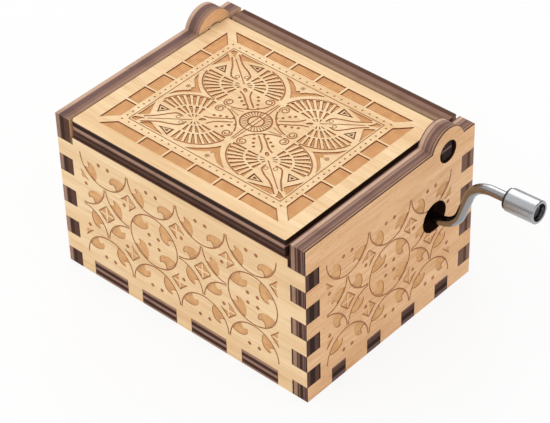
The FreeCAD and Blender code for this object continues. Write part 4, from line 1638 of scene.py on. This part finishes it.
@dataclass(frozen=True)
class Lamp:
    """A square soft lamp: its name, its place and width in metres, and its power in watts."""

    name: str
    place: Triple
    size: float
    power: float

    def hang(self, aim: Triple) -> None:
        """Hangs the lamp so that it points at a place.

        Args:
            aim: What it points at.
        """
        data = bpy.data.lights.new(self.name, "AREA")
        data.shape = "SQUARE"
        data.size = self.size
        data.energy = self.power
        lamp = placed(self.name, data)
        lamp.location = self.place
        lamp.rotation_mode = "QUATERNION"
        lamp.rotation_quaternion = (Vector(self.place) - Vector(aim)).to_track_quat("Z", "Y")


@dataclass
class Studio:
    """A pale floor, soft light and the camera."""

    azimuth: float = 42.80
    elevation: float = 39.79
    roll: float = -1.67
    distance: float = 448.1 * MM
    focal_pixels: float = 2236.1
    frame_width: int = 550
    sensor: float = 36.0
    target: Triple = (2.27 * MM, 0.0, 15.50 * MM)
    near: float = 10 * MM
    floor_size: float = 4.0
    floor_shade: Colour = (0.92, 0.92, 0.92)
    floor_glow: float = 0.86
    air_strength: float = 0.80
    bright_side: Triple = (-0.52, 0.50, 0.69)
    wall_shade: Colour = (0.8, 0.8, 0.8)
    wall_levels: tuple[float, float, float, float] = (0.85, 0.90, 0.55, 3.0)
    lamp_aim: Triple = (0.0, 0.0, 20 * MM)
    lamps: tuple[Lamp, ...] = (
        Lamp("key_lamp", (-0.40, -0.45, 0.80), 1.2, 2.9),
        Lamp("fill_lamp", (0.75, -0.25, 0.45), 0.5, 0.5),
        Lamp("rim_lamp", (-0.44, 0.43, 0.61), 0.2, 0.6),
    )

    def _camera(self) -> None:
        """Places the camera."""
        data = bpy.data.cameras.new("camera")
        data.sensor_width = self.sensor
        data.lens = self.focal_pixels / self.frame_width * self.sensor
        data.clip_start = self.near
        camera = placed("camera", data)
        azimuth = math.radians(self.azimuth)
        elevation = math.radians(self.elevation)
        back = Vector((math.sin(azimuth) * math.cos(elevation), -math.cos(azimuth) * math.cos(elevation),
                       math.sin(elevation)))
        right = Vector((math.cos(azimuth), math.sin(azimuth), 0))
        upright = Matrix((right, back.cross(right), back)).transposed().to_4x4()
        roll = Matrix.Rotation(math.radians(self.roll), 4, "Z")
        place = Matrix.Translation(Vector(self.target) + back * self.distance)
        camera.matrix_world = place @ upright @ roll
        bpy.context.scene.camera = camera

    def _floor(self) -> None:
        """Lays the floor, white to the camera and in reflections, and keeping the object's shadow."""
        deselect()
        bpy.ops.mesh.primitive_plane_add(size=self.floor_size)
        floor = bpy.context.object
        floor.name = "studio_floor"
        sheet = NodeSheet(bpy.data.materials.new("studio_white"))
        sheet.feed(sheet.shader, {"Base Color": self.floor_shade, "Roughness": 0.9})
        rays = sheet.add("ShaderNodeLightPath", {}).outputs
        glow = sheet.add("ShaderNodeEmission", {})
        seen = rays["Is Camera Ray"]
        for ray in ("Is Glossy Ray", "Is Transmission Ray"):
            seen = sheet.add("ShaderNodeMath", {0: seen, 1: rays[ray]}, operation="MAXIMUM").outputs[0]
        share = sheet.add("ShaderNodeMath", {0: seen, 1: self.floor_glow}, operation="MULTIPLY")
        mix = sheet.add("ShaderNodeMixShader", {0: share.outputs[0], 1: sheet.shader.outputs[0],
                                                2: glow.outputs[0]})
        sheet.feed(sheet.tree.nodes["Material Output"], {"Surface": mix.outputs[0]})
        floor.data.materials.append(sheet.owner)

    def _world(self) -> None:
        """Sets the soft light from all round, which polished metal sees as a bright and a dim side."""
        sheet = NodeSheet(bpy.data.worlds.new("studio_air"), "Background")
        sheet.feed(sheet.shader, {"Color": WHITE, "Strength": self.air_strength})
        directions = sheet.coordinates("Generated")
        towards = sheet.add("ShaderNodeVectorMath", {0: directions, 1: self.bright_side},
                            operation="DOT_PRODUCT")
        level = sheet.ranged(towards.outputs["Value"], *self.wall_levels)
        walls = sheet.add("ShaderNodeBackground", {"Color": self.wall_shade, "Strength": level})
        white = sheet.add("ShaderNodeBackground", {"Color": WHITE, "Strength": 1.0})
        rays = sheet.add("ShaderNodeLightPath", {}).outputs
        air = sheet.shader
        for ray, other in (("Is Glossy Ray", walls), ("Is Camera Ray", white)):
            air = sheet.add("ShaderNodeMixShader", {0: rays[ray], 1: air.outputs[0], 2: other.outputs[0]})
        sheet.feed(sheet.tree.nodes["World Output"], {"Surface": air.outputs[0]})
        bpy.context.scene.world = sheet.owner

    def build(self) -> None:
        """Sets up the floor, the light and the camera."""
        self._floor()
        self._world()
        for lamp in self.lamps:
            lamp.hang(self.lamp_aim)
        self._camera()
        bpy.context.scene.view_settings.view_transform = "Standard"


def main() -> None:
    """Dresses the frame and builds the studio."""
    logging.basicConfig(level=logging.INFO, format="%(name)s: %(message)s")
    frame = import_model()
    deselect()
    Case().build()
    Movement(frame["nodes"]).dress()
    Crank(frame["nodes"]).dress()
    Studio().build()


if __name__ == "__main__":
    main()
